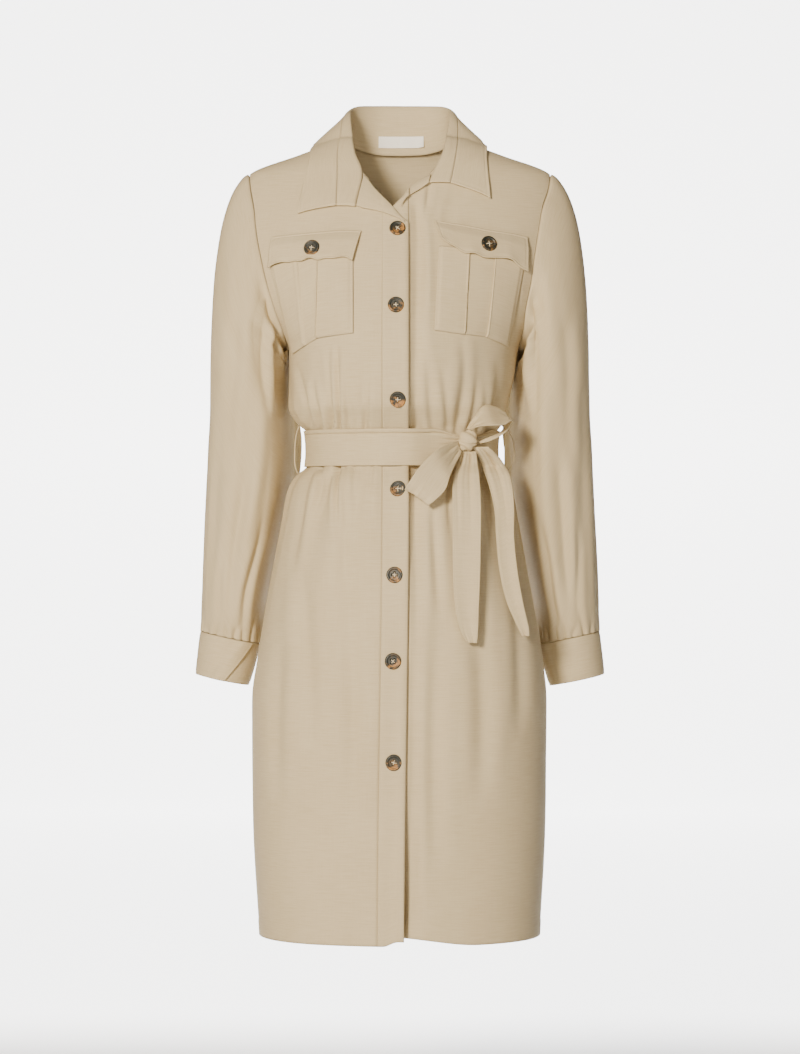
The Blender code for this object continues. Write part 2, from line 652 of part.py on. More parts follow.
POCKET = {
    -1: table("top_x top_z bottom_x bottom_z raised", [
        (-57, -152, -56, -249, 1), (-78, -152, -78, -251, 1), (-98, -153, -98, -253, 1),
        (-101, -153, -101, -254, 0), (-115, -155, -110, -259, 0), (-129, -158, -119, -264, 0),
        (-132, -158, -121, -265, 1), (-145, -161, -126, -268, 1), (-158, -164, -130, -270, 1)]),
    1: table("top_x top_z bottom_x bottom_z raised", [
        (47, -142, 41, -246, 1), (64, -144, 58, -248, 1), (82, -146, 75, -250, 1),
        (85, -147, 78, -250, 0), (100, -150, 91, -251, 0), (115, -152, 103, -252, 0),
        (118, -153, 106, -253, 1), (134, -158, 118, -257, 1), (151, -165, 131, -262, 1)]),
}
FLAP = {
    -1: table("top_x top_z bottom_x bottom_z", [
        (-47, -123.5, -57, -160), (-62, -123, -70, -159), (-78, -123, -88, -158.5),
        (-95, -124, -100, -159.5), (-110, -125, -112, -159), (-126, -126, -124, -160),
        (-142, -127, -138, -161.5), (-157, -128, -158, -165)]),
    1: table("top_x top_z bottom_x bottom_z", [
        (42, -110, 50, -137), (58, -113, 62, -143), (74, -115, 77, -151), (91, -118, 92, -155),
        (107, -121, 108, -157), (124, -123, 124, -157), (140, -125, 139, -163),
        (156, -128, 153, -171)]),
}
FACING = {
    -1: table("roll_x roll_z free_x free_z", [
        (-44.5, -51, -53, -92), (-38, -59, -45, -95), (-31, -69, -34, -97), (-20, -81, -22, -100),
        (-10, -92, -11, -104), (-2, -102, -2, -108), (5, -110, 5.5, -113)]),
    1: table("roll_x roll_z free_x free_z", [
        (38, -50.5, 35, -63), (30, -55, 27, -69), (21, -60, 18.5, -74), (13, -67, 9.5, -80),
        (7, -75, 4, -87), (2.5, -84, 1, -93)]),
}
FRONT_BUTTONS = table("x drop", [
    (-3, 119.5), (-4.8, 215), (-2, 329), (-2, 438), (-6.5, 542), (-8.4, 646), (-7.5, 768),
])
FLAP_BUTTONS = {-1: (-107.7, -143.0), 1: (108.5, -138.0)}
BUTTON_RADIUS = 10.0


def strip_on(tree, rows, ends, steps, lift):
    """Grid on the panels between two rows of named points; lift gives each point's height."""
    a = np.stack([rows[ends[0] + "_x"], rows[ends[0] + "_z"]], axis=-1)
    b = np.stack([rows[ends[1] + "_x"], rows[ends[1] + "_z"]], axis=-1)
    t = np.linspace(0, 1, steps)[:, None, None]
    place = b[None] + (a - b)[None] * t
    return lay_on(tree, place[..., 0], place[..., 1], lift)


# ---------------------------------------------------------------- belt and bow

def belt_grid():
    """Belt round the waist from one side of the knot to the other, narrowed where the knot grips it."""
    knot_angle = float(angle_at(np.float64(KNOT[0]), np.float64(-KNOT[2])))
    turn = np.linspace(knot_angle - 0.105, knot_angle + 0.105 - 2 * np.pi, BELT_COLS)
    share = np.linspace(0, 1, BELT_COLS)
    pinch = 1 - 0.52 * (1 - smooth(np.minimum(share, 1 - share) / 0.055))
    middle = (BELT_TOP + BELT_BOTTOM) / 2
    rows = []
    for v in (0.5, 0.0, -0.5):
        drop = middle + v * (BELT_BOTTOM - BELT_TOP) * pinch - 8 * (1 - pinch)
        x = body_point(turn, drop)[:, 0]
        front = np.cos(turn) > 0
        bump = np.where(front & (x < 20), lap(x, drop) + 2.4 * smooth((x + 27) / 6), 0.0)
        bump = np.where(front & (x >= 8), (LAP_RAISE + 2.4) * (1 - smooth((x - 8) / 34)), bump)
        rows.append(body_point(turn, drop, BELT_CLEAR + bump - fold_depth(turn, drop)))
    return np.stack(rows)


LOOP = {
    "bow_loop_right": table("ax ay az bx by bz", [
        (68, -98, -381, 72.5, -96, -394), (56, -110, -385, 66, -109, -406),
        (40, -127, -394, 58, -127, -424), (22, -134, -412, 52, -132, -441),
        (8, -136, -432, 38, -134, -455), (3.5, -132, -440, 31, -130, -459),
        (10, -128.5, -434, 35, -127, -453), (26, -123, -411, 52, -124, -438),
        (45, -111, -391, 59, -113, -415), (64, -93, -384, 66.5, -93, -396)]),
    "bow_loop_left": table("ax ay az bx by bz", [
        (86, -98, -361, 82, -89, -360), (97, -112, -358, 91, -97, -347),
        (112, -124, -357, 103, -92, -332), (126, -120, -356, 117, -85, -333),
        (136, -112, -351, 128, -82, -340), (136, -104, -355, 132, -83, -349),
        (128, -101, -365, 126, -86, -362), (112, -100, -374, 112, -90, -371),
        (98.5, -92, -378, 98, -85, -377)]),
}
TAIL = {
    "bow_tail_front": table("left right drop out", [
        (76, 93, 394, 8), (71, 94.5, 408, 9), (64.5, 97, 430, 10), (64, 98.5, 465, 9), (64, 98, 510, 7),
        (64.5, 97, 550, 6), (67, 95.5, 585, 6), (73, 94.5, 610, 6), (81, 93, 626, 6)]),
    "bow_tail_side": table("left right drop out", [
        (92, 112, 387, 18), (101, 126, 402, 16), (107, 137, 420, 12), (113, 141, 438, 10),
        (119, 143, 465, 8), (121, 143, 500, 8), (125, 147, 540, 8), (133, 153, 575, 9),
        (146, 160, 606, 11), (152, 161, 618, 12)]),
}


def tail_grid(tree, rows, count=13, across=4):
    """Hanging end of the belt: its edges follow the table, just clear of what lies behind."""
    curve = spline(np.stack([rows[k] for k in rows], axis=-1), count)
    left, right, drop, out = (curve[:, k] for k in range(4))
    t = np.linspace(0, 1, across)[None, :]
    x = left[:, None] + (right - left)[:, None] * t
    z = -np.repeat(drop[:, None], across, axis=1)
    depth = np.array([lay_on(tree, xi, zi, 0.0)[..., 1] for xi, zi in zip(x, z)])
    nearest = np.min(depth, axis=1, keepdims=True)
    y = nearest - out[:, None] - 1.5 * np.sin(np.pi * t)
    return np.stack([x, y, z], axis=-1)


def knot_points():
    """Rounded, slanted knot: a squashed ball wider across its wrap than along it."""
    rows, cols = 9, 14
    up = np.linspace(-1, 1, rows + 2)[1:-1] * np.pi / 2
    round_ = np.linspace(0, 2 * np.pi, cols, endpoint=False)
    u, v = np.meshgrid(up, round_, indexing="ij")
    x = 12.5 * np.cos(u) * np.cos(v)
    z = 13.5 * np.sin(u)
    y = 9.0 * np.cos(u) * np.sin(v)
    lean = np.radians(-32)
    points = np.stack([x * np.cos(lean) - z * np.sin(lean), y, x * np.sin(lean) + z * np.cos(lean)], axis=-1)
    tip = np.array([[-13.5 * np.sin(lean), 0, 13.5 * np.cos(lean)]])
    points = points.reshape(-1, 3)
    points = np.vstack([points, -tip, tip]) + np.array(KNOT)
    faces = grid_faces(rows, cols, True)
    low, high = rows * cols, rows * cols + 1
    faces += [(low, (j + 1) % cols, j) for j in range(cols)]
    last = (rows - 1) * cols
    faces += [(high, last + j, last + (j + 1) % cols) for j in range(cols)]
    return points, faces


# the belt carriers' distance from the middle; the ends, marked 0, lie against the body
CARRIER = {
    -1: table("out drop", [(0, 358), (126, 364), (128, 372), (129, 382), (129.3, 395), (129, 406), (0, 417)]),
    1: table("out drop", [(0, 357), (132.5, 362), (139, 373), (141, 384), (141.2, 396), (138, 408),
                          (0, 418)]),
}


def carrier_grid(side):
    """Belt carrier: a narrow strip at the side seam that stands out round the belt."""
    out, drop = CARRIER[side]["out"], CARRIER[side]["drop"]
    body = np.abs(body_point(side * np.pi / 2, drop, CLOTH + 2 * SEAM)[:, 0])
    out = np.where(out > 0, out, body)
    y = np.array([-4.0, 0.0, 4.0])
    return np.stack(np.broadcast_arrays(side * out[:, None], y[None, :], -drop[:, None]), axis=-1)


# ---------------------------------------------------------------- buttons and label

def button_seat(tree, x, z):
    """Where a button sits and the way it faces: as low as its rim lets it lie, SEAM off the cloth."""
    normal = front_normal(np.float64(x), np.float64(z))
    turn = np.linspace(0, 2 * np.pi, 24, endpoint=False)
    reach = BUTTON_RADIUS * np.array([0.0, 0.5, 1.0])[:, None]
    under = lay_on(tree, x + reach * np.cos(turn), z + reach * np.sin(turn), 0.0)
    middle = under[0, 0]
    highest = np.max((under - middle) @ normal)
    return middle + normal * (highest + SEAM), normal


def button(name, at, normal, finish):
    """Turned button: a dished face inside a raised rim."""
    profile = [(0.01, 1.7), (6.6, 1.7), (7.6, 2.8), (9.2, 2.6), (10.0, 1.2), (8.6, 0.0), (0.01, 0.0)]
    steps = 12
    at, normal = Vector(at), Vector(normal).normalized()
    turn = Vector((0, 0, 1)).rotation_difference(normal).to_matrix()
    points = []
    for r, h in profile[1:-1]:
        for k in range(steps):
            a = 2 * math.pi * k / steps
            points.append(at + turn @ Vector((r * math.cos(a), r * math.sin(a), h)))
    rings = len(profile) - 2
    faces = [tuple(reversed(f)) for f in grid_faces(rings, steps, True)]
    faces.append(tuple(range(steps)))
    faces.append(tuple(reversed(range((rings - 1) * steps, rings * steps))))
    made = mesh_object(name, [tuple(p) for p in points], faces, finish)
    made.data.set_sharp_from_angle(angle=math.radians(40))
    return made


def build():
    """Make every piece."""
    linen = material("linen_weave", (0.60, 0.51, 0.40), 0.75)
    resin = material("tortoise_resin", (0.06, 0.05, 0.03), 0.25)
    tape = material("label_tape", (0.85, 0.84, 0.80), 0.7)

    fronts = {side: front_panel(side) for side in (-1, 1)}
    back = back_panel()
    right = sheet("front_right", shrink_edges(fronts[-1], last=0.5, top=0.6), linen, outward=from_axis)
    left = sheet("front_left", shrink_edges(fronts[1], last=0.5, top=0.6), linen, outward=from_axis)
    sheet("back", shrink_edges(back, first=0.5, last=0.5, top=0.6), linen, outward=from_axis)

    rows = BAND_TOP_ROWS + LOWER_ROWS
    under = band_grid(104, 71, rows, 0.0)
    over = band_grid(81, 112, rows, LAP_RAISE)
    band_left = sheet("band_left", under, linen, wall=1.6, outward=from_axis)
    band_right = sheet("band_right", over, linen, wall=1.8, outward=from_axis)

    for side, name in ((-1, "right"), (1, "left")):
        grid = sleeve_grid(side, fronts[side], back)
        middle = np.array([side * 190.0, 20.0])
        outward = lambda c, n: n[:, 0] * (c[:, 0] - middle[0]) + n[:, 1] * (c[:, 1] - middle[1])
        sheet("sleeve_" + name, grid, linen, side=-1.0, wrap=True, outward=outward)
        cuff = cuff_grid(side)
        sheet("cuff_" + name, cuff, linen, wall=DOUBLE, side=-1.0, outward=outward)

    stand, leaf = collar_grids()
    sheet("collar_stand", stand, linen, wall=1.5, side=0.0)
    sheet("collar_leaf", leaf, linen, wall=1.5, side=0.0)

    chest = tree_of(right, left, band_right, band_left)
    lapel = None
    for side, name in ((-1, "right"), (1, "left")):
        lift = 1.2 + 1.5 * POCKET[side]["raised"]
        pocket = sheet("pocket_" + name, strip_on(chest, POCKET[side], ("top", "bottom"), 7, lift), linen,
                       outward=facing_front)
        t = np.linspace(0, 1, 4)[:, None]
        flap_lift = 4.4 + 0.6 * (1 - t) - 2.6 * smooth((t - 0.6) / 0.4)
        flap = sheet("flap_" + name, strip_on(chest, FLAP[side], ("top", "bottom"), 4, flap_lift), linen,
                     wall=1.6, outward=facing_front)
        seat, normal = button_seat(tree_of(flap), *FLAP_BUTTONS[side])
        button("flap_button_" + name, seat, normal, resin)
        t = np.linspace(0, 1, 4)[:, None]
        share = np.linspace(1, 0, len(FACING[side]["roll_x"]))[None, :]
        rise = 2.0 + (1 - t) * 3.0 * share + 1.4 * np.sin(np.pi * t) * share
        facing = sheet("facing_" + name, strip_on(chest, FACING[side], ("roll", "free"), 4, rise), linen,
                       outward=facing_front)
        lapel = lapel or facing

    belt = sheet("belt", belt_grid(), linen, wall=DOUBLE, outward=from_axis)
    points, faces = knot_points()
    points = seat_against(points, tree_of(belt), (0, 1, 0), 2 * SEAM)
    knot = tree_of(mesh_object("belt_knot", points, faces, linen))
    centre = points.mean(axis=0)
    for name, rows in LOOP.items():
        curve_a = spline(np.stack([rows[k] for k in ("ax", "ay", "az")], axis=-1), 19)
        curve_b = spline(np.stack([rows[k] for k in ("bx", "by", "bz")], axis=-1), 19)
        t = np.linspace(0, 1, 4)[:, None, None]
        grid = curve_a[None] + (curve_b - curve_a)[None] * t
        grid = seat_against(grid, knot, centre - grid[:, 0].mean(axis=0), BOW_WALL / 2 + 0.1)
        sheet(name, grid, linen, wall=BOW_WALL, side=0.0)
    behind = tree_of(right, left, belt)
    for name, rows in TAIL.items():
        grid = tail_grid(behind, rows)
        grid = seat_against(grid, knot, centre - grid[0].mean(axis=0), BOW_WALL)
        sheet(name, grid, linen, wall=BOW_WALL, outward=facing_front)
    for side, name in ((-1, "right"), (1, "left")):
        sheet("belt_loop_" + name, carrier_grid(side), linen, wall=1.4, side=1.0,
              outward=lambda c, n: n[:, 0] * c[:, 0])

    lapped = tree_of(band_right, lapel)
    for k, (x, drop) in enumerate(zip(FRONT_BUTTONS["x"], FRONT_BUTTONS["drop"]), 1):
        seat, normal = button_seat(lapped if k == 1 else chest, x, -drop)
        button(f"button_{k}", seat, normal, resin)

    across = np.linspace(-27, 30, 6)
    inner = spline(np.stack([COLLAR[1][f"seam_{k}"] for k in "xyz"], axis=-1)[:3], 30)
    y = np.interp(np.abs(across), inner[:, 0], inner[:, 1])
    rise = np.array([-3.5, 4.0, 11.5])[:, None]
    label = np.stack(np.broadcast_arrays(across[None], y[None] - 2.2 + 0.19 * np.maximum(rise, -1), rise),
                     axis=-1)
    sheet("neck_label", label, tape, wall=0.8, side=0.0, outward=facing_front)


clear_scene()
GARMENT = collection("shirt_dress")
build()
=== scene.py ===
# %% [markdown]
# # A belted linen shirt dress
# The dress is modelled the way it is cut: back, two fronts, bands, sleeves, cuffs, collar, pockets and
# belt, each a thin shell on one shared surface. A simulation would drop a hollow dress to the floor, so
# the filled-out form comes from formulas: oval sections down the body, with gathers, creases and seams
# added as small heights along the surface's own outward direction.

# %% Load the frame
import math

import bpy
import numpy as np
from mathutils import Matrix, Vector


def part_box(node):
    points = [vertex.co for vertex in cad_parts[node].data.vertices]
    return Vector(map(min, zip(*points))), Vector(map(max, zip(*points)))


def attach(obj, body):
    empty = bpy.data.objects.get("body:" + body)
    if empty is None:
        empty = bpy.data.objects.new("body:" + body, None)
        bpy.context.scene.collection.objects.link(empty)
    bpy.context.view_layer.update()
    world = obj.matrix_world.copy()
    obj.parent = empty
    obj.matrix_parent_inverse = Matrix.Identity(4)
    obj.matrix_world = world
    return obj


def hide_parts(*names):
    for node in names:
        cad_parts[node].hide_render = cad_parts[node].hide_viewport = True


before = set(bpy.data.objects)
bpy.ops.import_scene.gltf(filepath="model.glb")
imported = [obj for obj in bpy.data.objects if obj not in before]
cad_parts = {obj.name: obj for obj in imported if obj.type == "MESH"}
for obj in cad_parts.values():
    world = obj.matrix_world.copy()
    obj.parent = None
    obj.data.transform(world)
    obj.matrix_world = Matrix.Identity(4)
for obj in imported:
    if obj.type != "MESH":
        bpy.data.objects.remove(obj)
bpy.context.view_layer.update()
print("frame nodes:", len(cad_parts))

# %% [markdown]
# Sizes are in millimetres and turned to metres when a mesh is made. A "drop" is a distance below the
# high point of the shoulder, so z = -drop. +x is the wearer's left and -y the front. Smooth curves
# through short tables do for a dress what a set of graded patterns does for its maker.

# %% Curves through tables
def table(names, rows):
    """Rows of numbers as named columns."""
    return dict(zip(names.split(), np.array(rows, dtype=float).T))


def both(names, right, left):
    """Tables of a piece's two sides, under -1 for the wearer's right and 1 for the left."""
    return {-1: table(names, right), 1: table(names, left)}


def stack(*parts):
    """The parts, spread to one shape, side by side on a last axis: three of them make points."""
    return np.stack(np.broadcast_arrays(*parts), axis=-1)


def length_of(vectors):
    """Length of each vector, kept as a last axis of one."""
    return np.linalg.norm(vectors, axis=-1, keepdims=True)


def smooth(t):
    """Ease from 0 to 1: 3t^2 - 2t^3 on the clipped t."""
    t = np.clip(t, 0.0, 1.0)
    return t * t * (3 - 2 * t)


def bell(t):
    """exp(-t^2): 1 in the middle, nearly 0 two widths out."""
    return np.exp(-np.square(t))


def hermite(a, b, leave, arrive, t):
    """Cubic from a to b that leaves a along one direction and arrives at b along another."""
    return ((2 * t**3 - 3 * t**2 + 1) * a + (t**3 - 2 * t**2 + t) * leave
            + (3 * t**2 - 2 * t**3) * b + (t**3 - t**2) * arrive)


def bend(a, b, c, t):
    """Quadratic Bezier curve from a to c that passes b half way."""
    return (1 - t) ** 2 * a + 2 * t * (1 - t) * (2 * b - 0.5 * (a + c)) + t**2 * c


def monotone(at, xs, ys):
    """Cubic Hermite curve through (xs, ys) with harmonic-mean slopes, so it never overshoots a row."""
    at = np.clip(np.asarray(at, float), xs[0], xs[-1])
    run = np.diff(xs)
    rise = np.diff(ys) / run
    product = rise[:-1] * rise[1:]
    both = product > 0
    w1, w2 = 2 * run[1:] + run[:-1], run[1:] + 2 * run[:-1]
    mean = (w1 + w2) * product / np.where(both, w1 * rise[1:] + w2 * rise[:-1], 1.0)
    slope = np.concatenate([rise[:1], np.where(both, mean, 0.0), rise[-1:]])
    k = np.clip(np.searchsorted(xs, at, side="right") - 1, 0, len(run) - 1)
    return hermite(ys[k], ys[k + 1], slope[k] * run[k], slope[k + 1] * run[k], (at - xs[k]) / run[k])


def read(rows, drop, *names):
    """The named columns of a table as smooth curves, read at these drops."""
    return [monotone(drop, rows["drop"], rows[name]) for name in names]


def spline(points, count):
    """Catmull-Rom curve through the points, count samples evenly spread in parameter."""
    p = np.asarray(points, float)
    ends = np.vstack([2 * p[0] - p[1], p, 2 * p[-1] - p[-2]])
    u = np.linspace(0, len(p) - 1, count)
    k = np.minimum(u.astype(int), len(p) - 2)
    t = (u - k)[:, None]
    a, b, c, d = ends[k], ends[k + 1], ends[k + 2], ends[k + 3]
    return 0.5 * (2 * b + (c - a) * t + (2 * a - 5 * b + 4 * c - d) * t**2 + (3 * b - a - 3 * c + d) * t**3)


def noise(x, y, seed, octaves=3):
    """Smooth wandering value in -1..1: a sum of sines at seeded directions, each octave twice as fine."""
    rng = np.random.default_rng(seed)
    total = 0.0
    for k in range(octaves):
        for _ in range(4):
            a, phase = rng.uniform(0, 2 * np.pi, 2)
            total = total + np.sin((x * np.cos(a) + y * np.sin(a)) * 2**k + phase) * 0.5**k / 3
    return total


print("ease at 0.25:", float(smooth(0.25)))

# %% [markdown]
# The body of the dress is one surface. Each level is a squared ellipse with its own half widths to the
# right and left and its own depths to front and back, all read from one table. The panels, the belt and
# the pockets all lie on it, so nothing has to be fitted by eye.

# %% The body's sections
BODY = table("drop right left front back square", [
    (0, 72, 72, 22, 54, 2), (20, 126, 126, 36, 70, 2), (44, 187, 187, 49, 80, 2),
    (60, 197, 197, 58, 86, 2), (85, 203, 203, 72, 93, 2), (110, 207, 205, 84, 98, 2),
    (150, 200, 198, 101, 103, 2.05), (200, 178, 180, 117, 105, 2.1), (240, 151, 158, 126, 102, 2.15),
    (262, 138, 147, 129, 100, 2.2), (300, 137, 141, 130, 96, 2.15), (333, 137, 132, 125, 92, 2.1),
    (352, 128, 127, 109, 87, 2.1), (366, 115, 120, 98, 83, 2.1), (388, 113, 118, 95, 81, 2.1),
    (408, 115, 119, 97, 83, 2.1), (424, 130, 132, 105, 92, 2.1), (440, 138, 139, 112, 99, 2.15),
    (475, 145, 146, 119, 109, 2.2), (520, 154, 155, 125, 119, 2.25), (575, 165, 165, 131, 128, 2.3),
    (640, 176, 176, 136, 134, 2.35), (700, 184, 182, 139, 137, 2.4), (840, 183, 181, 141, 138, 2.4),
    (990, 175, 174, 141, 138, 2.4)])
CLOTH = 0.7            # wall of one layer as it is shown
UNDERARM, HEM, TIP_DROP = 262.0, 990.0, 44.0
BAND_WIDTH = 31.0
LAP_RAISE, LAP_FADE = 2.7, 42.0
SIDES = ((-1, "right"), (1, "left"))


def closure(drop):
    """x of the centre of the button bands: it wanders 5.5 mm to the right by the hem."""
    return -5.5 - 5.5 * smooth((drop - 450) / (HEM - 450))


def section(angle, drop):
    """Squared ellipse: x = side * sin^(2/n), y = -depth * cos^(2/n), with its outward unit direction."""
    angle, drop = np.broadcast_arrays(angle, drop)
    power, right, left, front, back = read(BODY, drop, "square", "right", "left", "front", "back")
    s, c = np.sin(angle), np.cos(angle)
    side, depth = np.where(s < 0, right, left), np.where(c > 0, front, back)
    x = side * np.sign(s) * np.abs(s) ** (2 / power)
    y = -depth * np.sign(c) * np.abs(c) ** (2 / power)
    nx = np.sign(x) * np.abs(x / side) ** (power - 1) / side
    ny = np.sign(y) * np.abs(y / depth) ** (power - 1) / depth
    size = np.hypot(nx, ny) + 1e-9
    return x, y, nx / size, ny / size


def angle_at(x, drop, back=False):
    """Angle at which the section reaches this x: the inverse of the squared ellipse."""
    power, right, left = read(BODY, drop, "square", "right", "left")
    front = np.sign(x) * np.arcsin(np.clip(np.abs(x) / np.where(x < 0, right, left), 0, 1) ** (power / 2))
    return np.sign(x) * np.pi - front if back else front


print("waist:", round(float(section(np.pi / 2, 388)[0] * 2)), "mm across")

# %% [markdown]
# Cloth that is gathered into a belt makes two kinds of relief. The gathers are a soft, even ripple that
# lives close to the waist. The creases are fewer and uneven: each starts somewhere, runs down a slightly
# bent path and dies away, a trough with a raised lip on both sides. They are listed one by one, because an
# even pattern would look knitted.

# %% Gathers and soft folds
GATHER = table("drop depth", [
    (250, 0), (300, 0.6), (340, 1.8), (356, 2), (366, 0.5), (388, 0.4), (408, 0.5), (420, 2.2), (450, 2),
    (500, 1.2), (580, 0.4), (660, 0), (990, 0)])
FOLDS = table("angle_top angle_bottom drop_top drop_bottom width depth", [
    (-44, -38, 290, 356, 5, -4.5), (-34, -30, 262, 360, 5, -3), (-54, -50, 330, 362, 4, -4),
    (-24, -20, 300, 358, 5, -2.5), (20, 17, 285, 358, 6, -2.5), (30, 26, 262, 360, 7, 2.5),
    (40, 36, 260, 358, 7, -4), (52, 46, 300, 360, 6, 3), (-40, -46, 412, 520, 5, -4),
    (-26, -30, 412, 560, 6, 3), (-16, -18, 412, 500, 4, -2.5), (22, 24, 412, 540, 5, -3.5),
    (34, 40, 412, 600, 7, 3.5), (48, 54, 412, 560, 6, -3.5), (70, 66, 412, 560, 6, -3),
    (-70, -66, 412, 560, 6, -3), (-140, -150, 200, 356, 8, -4), (-165, -172, 230, 358, 7, 3),
    (162, 168, 240, 358, 7, -3.5), (138, 146, 200, 358, 8, 3.5), (-150, -158, 412, 640, 9, 4),
    (-176, -178, 412, 600, 8, -3.5), (158, 164, 412, 660, 9, 4), (128, 134, 412, 560, 7, -3.5)])


def gathers(angle, drop):
    """Ripple of 20 waves round the waist, times a depth that depends on the drop alone."""
    return np.sin(20 * angle + 0.7 * np.sin(3 * angle) + 0.5) * read(GATHER, drop, "depth")[0]


def folds(angle, drop):
    """Sum of bell-shaped folds, each along a slanted line in (angle, drop), held flat under the belt."""
    degrees, height = np.degrees(angle), 0.0
    for a0, a1, d0, d1, width, depth in zip(*FOLDS.values()):
        along = np.clip((drop - d0) / (d1 - d0), 0, 1)
        near_belt = 0.35 + 0.65 * np.where(drop < 388, along, 1 - along)
        ends = smooth((drop - d0 + 25) / 40) * smooth((d1 + 25 - drop) / 40)
        away = (degrees - a0 - (a1 - a0) * along + 180) % 360 - 180
        height = height + depth * near_belt * ends * bell(away / width)
    return height * (1 - 0.9 * smooth((36 - np.abs(drop - 386.5)) / 12))


print("folds:", len(FOLDS["depth"]))

# %% Creases, listed one by one
# each row is a bent path, its x at the top, half way and at the bottom, and its width and depth
CREASES = {
    "front": table("x0 x1 x2 top bottom width depth", [
        (-106, -104, -96, 300, 360, 3.4, -3.4), (-90, -88, -84, 322, 362, 2.4, -2),
        (-88, -86, -84, 262, 361, 3.6, -2.2), (-66, -64, -63, 318, 361, 2.2, -1.6),
        (-46, -44, -45, 330, 361, 2, -1.2), (-38, -40, -42, 296, 361, 3.2, -2),
        (22, 27, 24, 100, 228, 5, -1.3), (36, 34, 30, 62, 104, 3.2, -1.4), (68, 60, 57, 70, 128, 5, -1.5),
        (86, 82, 76, 64, 112, 4, -1.2), (30, 33, 40, 240, 356, 5.6, -1.6), (52, 55, 58, 290, 360, 4, -1.3),
        (74, 78, 70, 250, 362, 5.6, -2), (92, 92, 84, 300, 360, 3.6, -1.4),
        (104, 103, 96, 312, 362, 3, -1.4), (118, 118, 108, 276, 358, 5, -1.8),
        (-96, -100, -110, 412, 474, 3, -2.2), (-76, -79, -78, 411, 500, 2.8, -2),
        (-70, -68, -70, 411, 560, 4.2, -1.8), (-56, -56, -58, 411, 448, 2.2, -1.4),
        (-34, -36, -33, 411, 480, 2.4, -1.2), (16, 17, 14, 430, 540, 3, -1.4),
        (40, 44, 48, 470, 600, 5, -1.4), (62, 60, 62, 412, 500, 3, -1.8),
        (104, 108, 112, 414, 520, 3.4, -2.2), (116, 124, 130, 412, 500, 3, -1.8),
        (19, 20, 21, 96, 300, 7, -2.6), (20, 19, 20, 240, 361, 6, -3.2), (20, 20, 17, 411, 700, 7, -3.2),
        (17, 16, 15, 660, 960, 7, -2.4), (-76, -77, -75, 262, 361, 3, -4.6),
        (-77, -76, -74, 411, 505, 3, -4.2), (-112, -122, -132, 420, 540, 5, -1.6),
        (-128, -118, -112, 280, 356, 3.2, -1.8), (-150, -142, -146, 92, 200, 5, -1),
        (150, 142, 140, 96, 214, 5, -1.2), (-120, -112, -108, 540, 760, 10, -1.9),
        (94, 100, 96, 600, 820, 11, -2), (-62, -56, -60, 560, 860, 10, -1.5),
        (46, 40, 44, 620, 900, 11, -1.6), (140, 146, 144, 560, 740, 8, -1.6),
        (-146, -150, -148, 640, 820, 8, -1.4)]),
    "back": table("x0 x1 x2 top bottom width depth", [
        (-120, -96, -92, 120, 260, 7, -1.4), (118, 98, 90, 118, 262, 7, -1.4),
        (-84, -80, -76, 280, 361, 3.4, -2.4), (-58, -56, -54, 300, 361, 2.8, -1.8),
        (-34, -36, -30, 262, 361, 3.4, -1.8), (-10, -11, -8, 310, 361, 2.4, -1.4),
        (16, 18, 15, 286, 361, 3, -1.8), (42, 41, 38, 300, 361, 2.6, -1.7),
        (64, 66, 60, 270, 361, 3.4, -2.4), (90, 88, 80, 300, 361, 3, -2),
        (-70, -74, -80, 411, 506, 3.2, -2.2), (-44, -46, -44, 411, 560, 4.2, -1.8),
        (-20, -20, -22, 411, 470, 2.4, -1.4), (8, 6, 8, 411, 540, 3.6, -1.6),
        (34, 36, 40, 411, 486, 2.8, -1.8), (62, 66, 70, 411, 540, 3.8, -2),
        (88, 94, 104, 412, 500, 3.4, -1.8), (-96, -104, -114, 412, 520, 4, -1.8),
        (-60, -64, -58, 600, 860, 11, -1.2), (54, 60, 56, 580, 860, 11, -1.2),
        (0, 4, 0, 640, 900, 12, -0.9)]),
}


def creases(x, drop, where):
    """Height of each crease: a bell-shaped trough along a bent path, with a lip 1.9 widths to each side.

    A crease fades towards both ends, or away from the belt where it starts or stops there."""
    total, t = 0.0, np.linspace(0, 1, 21)
    for x0, x1, x2, top, bottom, width, depth in zip(*CREASES[where].values()):
        u = np.clip((drop - top) / (bottom - top), 0, 1)
        away = np.abs(x - np.interp(u, t, bend(x0, x1, x2, t))) / width
        over = np.maximum(np.maximum(top - drop, drop - bottom), 0) / (2 * width)
        if top < 340 and 354 < bottom < 364:
            fade = u**0.7
        elif abs(top - 411) > 4:
            fade = np.sin(np.pi * np.clip(0.12 + 0.88 * u, 0, 1)) ** 0.7
        else:
            fade = (1 - u) ** 0.8
        total = total + 2.1 * depth * (bell(away) - 0.38 * bell(away - 1.9)) * fade * bell(over)
    return total


print("creases:", sum(len(rows["depth"]) for rows in CREASES.values()))

# %% The dressed surface
def crumple(x, drop):
    """Faint hand of the linen: wandering bumps of a few tenths of a millimetre, longer down than across."""
    return 0.22 * noise(x / 26, drop / 60, 3) + 0.10 * noise(x / 9, drop / 16, 5)


def body_point(angle, drop, lift=0.0, plain=False):
    """Point on the dress: the section, moved outwards by gathers, folds, creases and the cloth's own hand."""
    x, y, nx, ny = section(angle, drop)
    away = gathers(angle, drop) + folds(angle, drop) + lift
    if not plain:
        bent = np.where(np.cos(angle) > 0, creases(x, drop, "front"), creases(x, drop, "back"))
        away = away + bent + crumple(x, drop)
    return stack(x + nx * away, y + ny * away, -drop)


def lap(x, drop):
    """Rise of the right front towards the band that laps over the left one."""
    return LAP_RAISE * smooth((x - closure(drop) + BAND_WIDTH / 2 + LAP_FADE) / LAP_FADE)


print("belt level depth:", round(float(body_point(0.0, 386)[1]), 1))

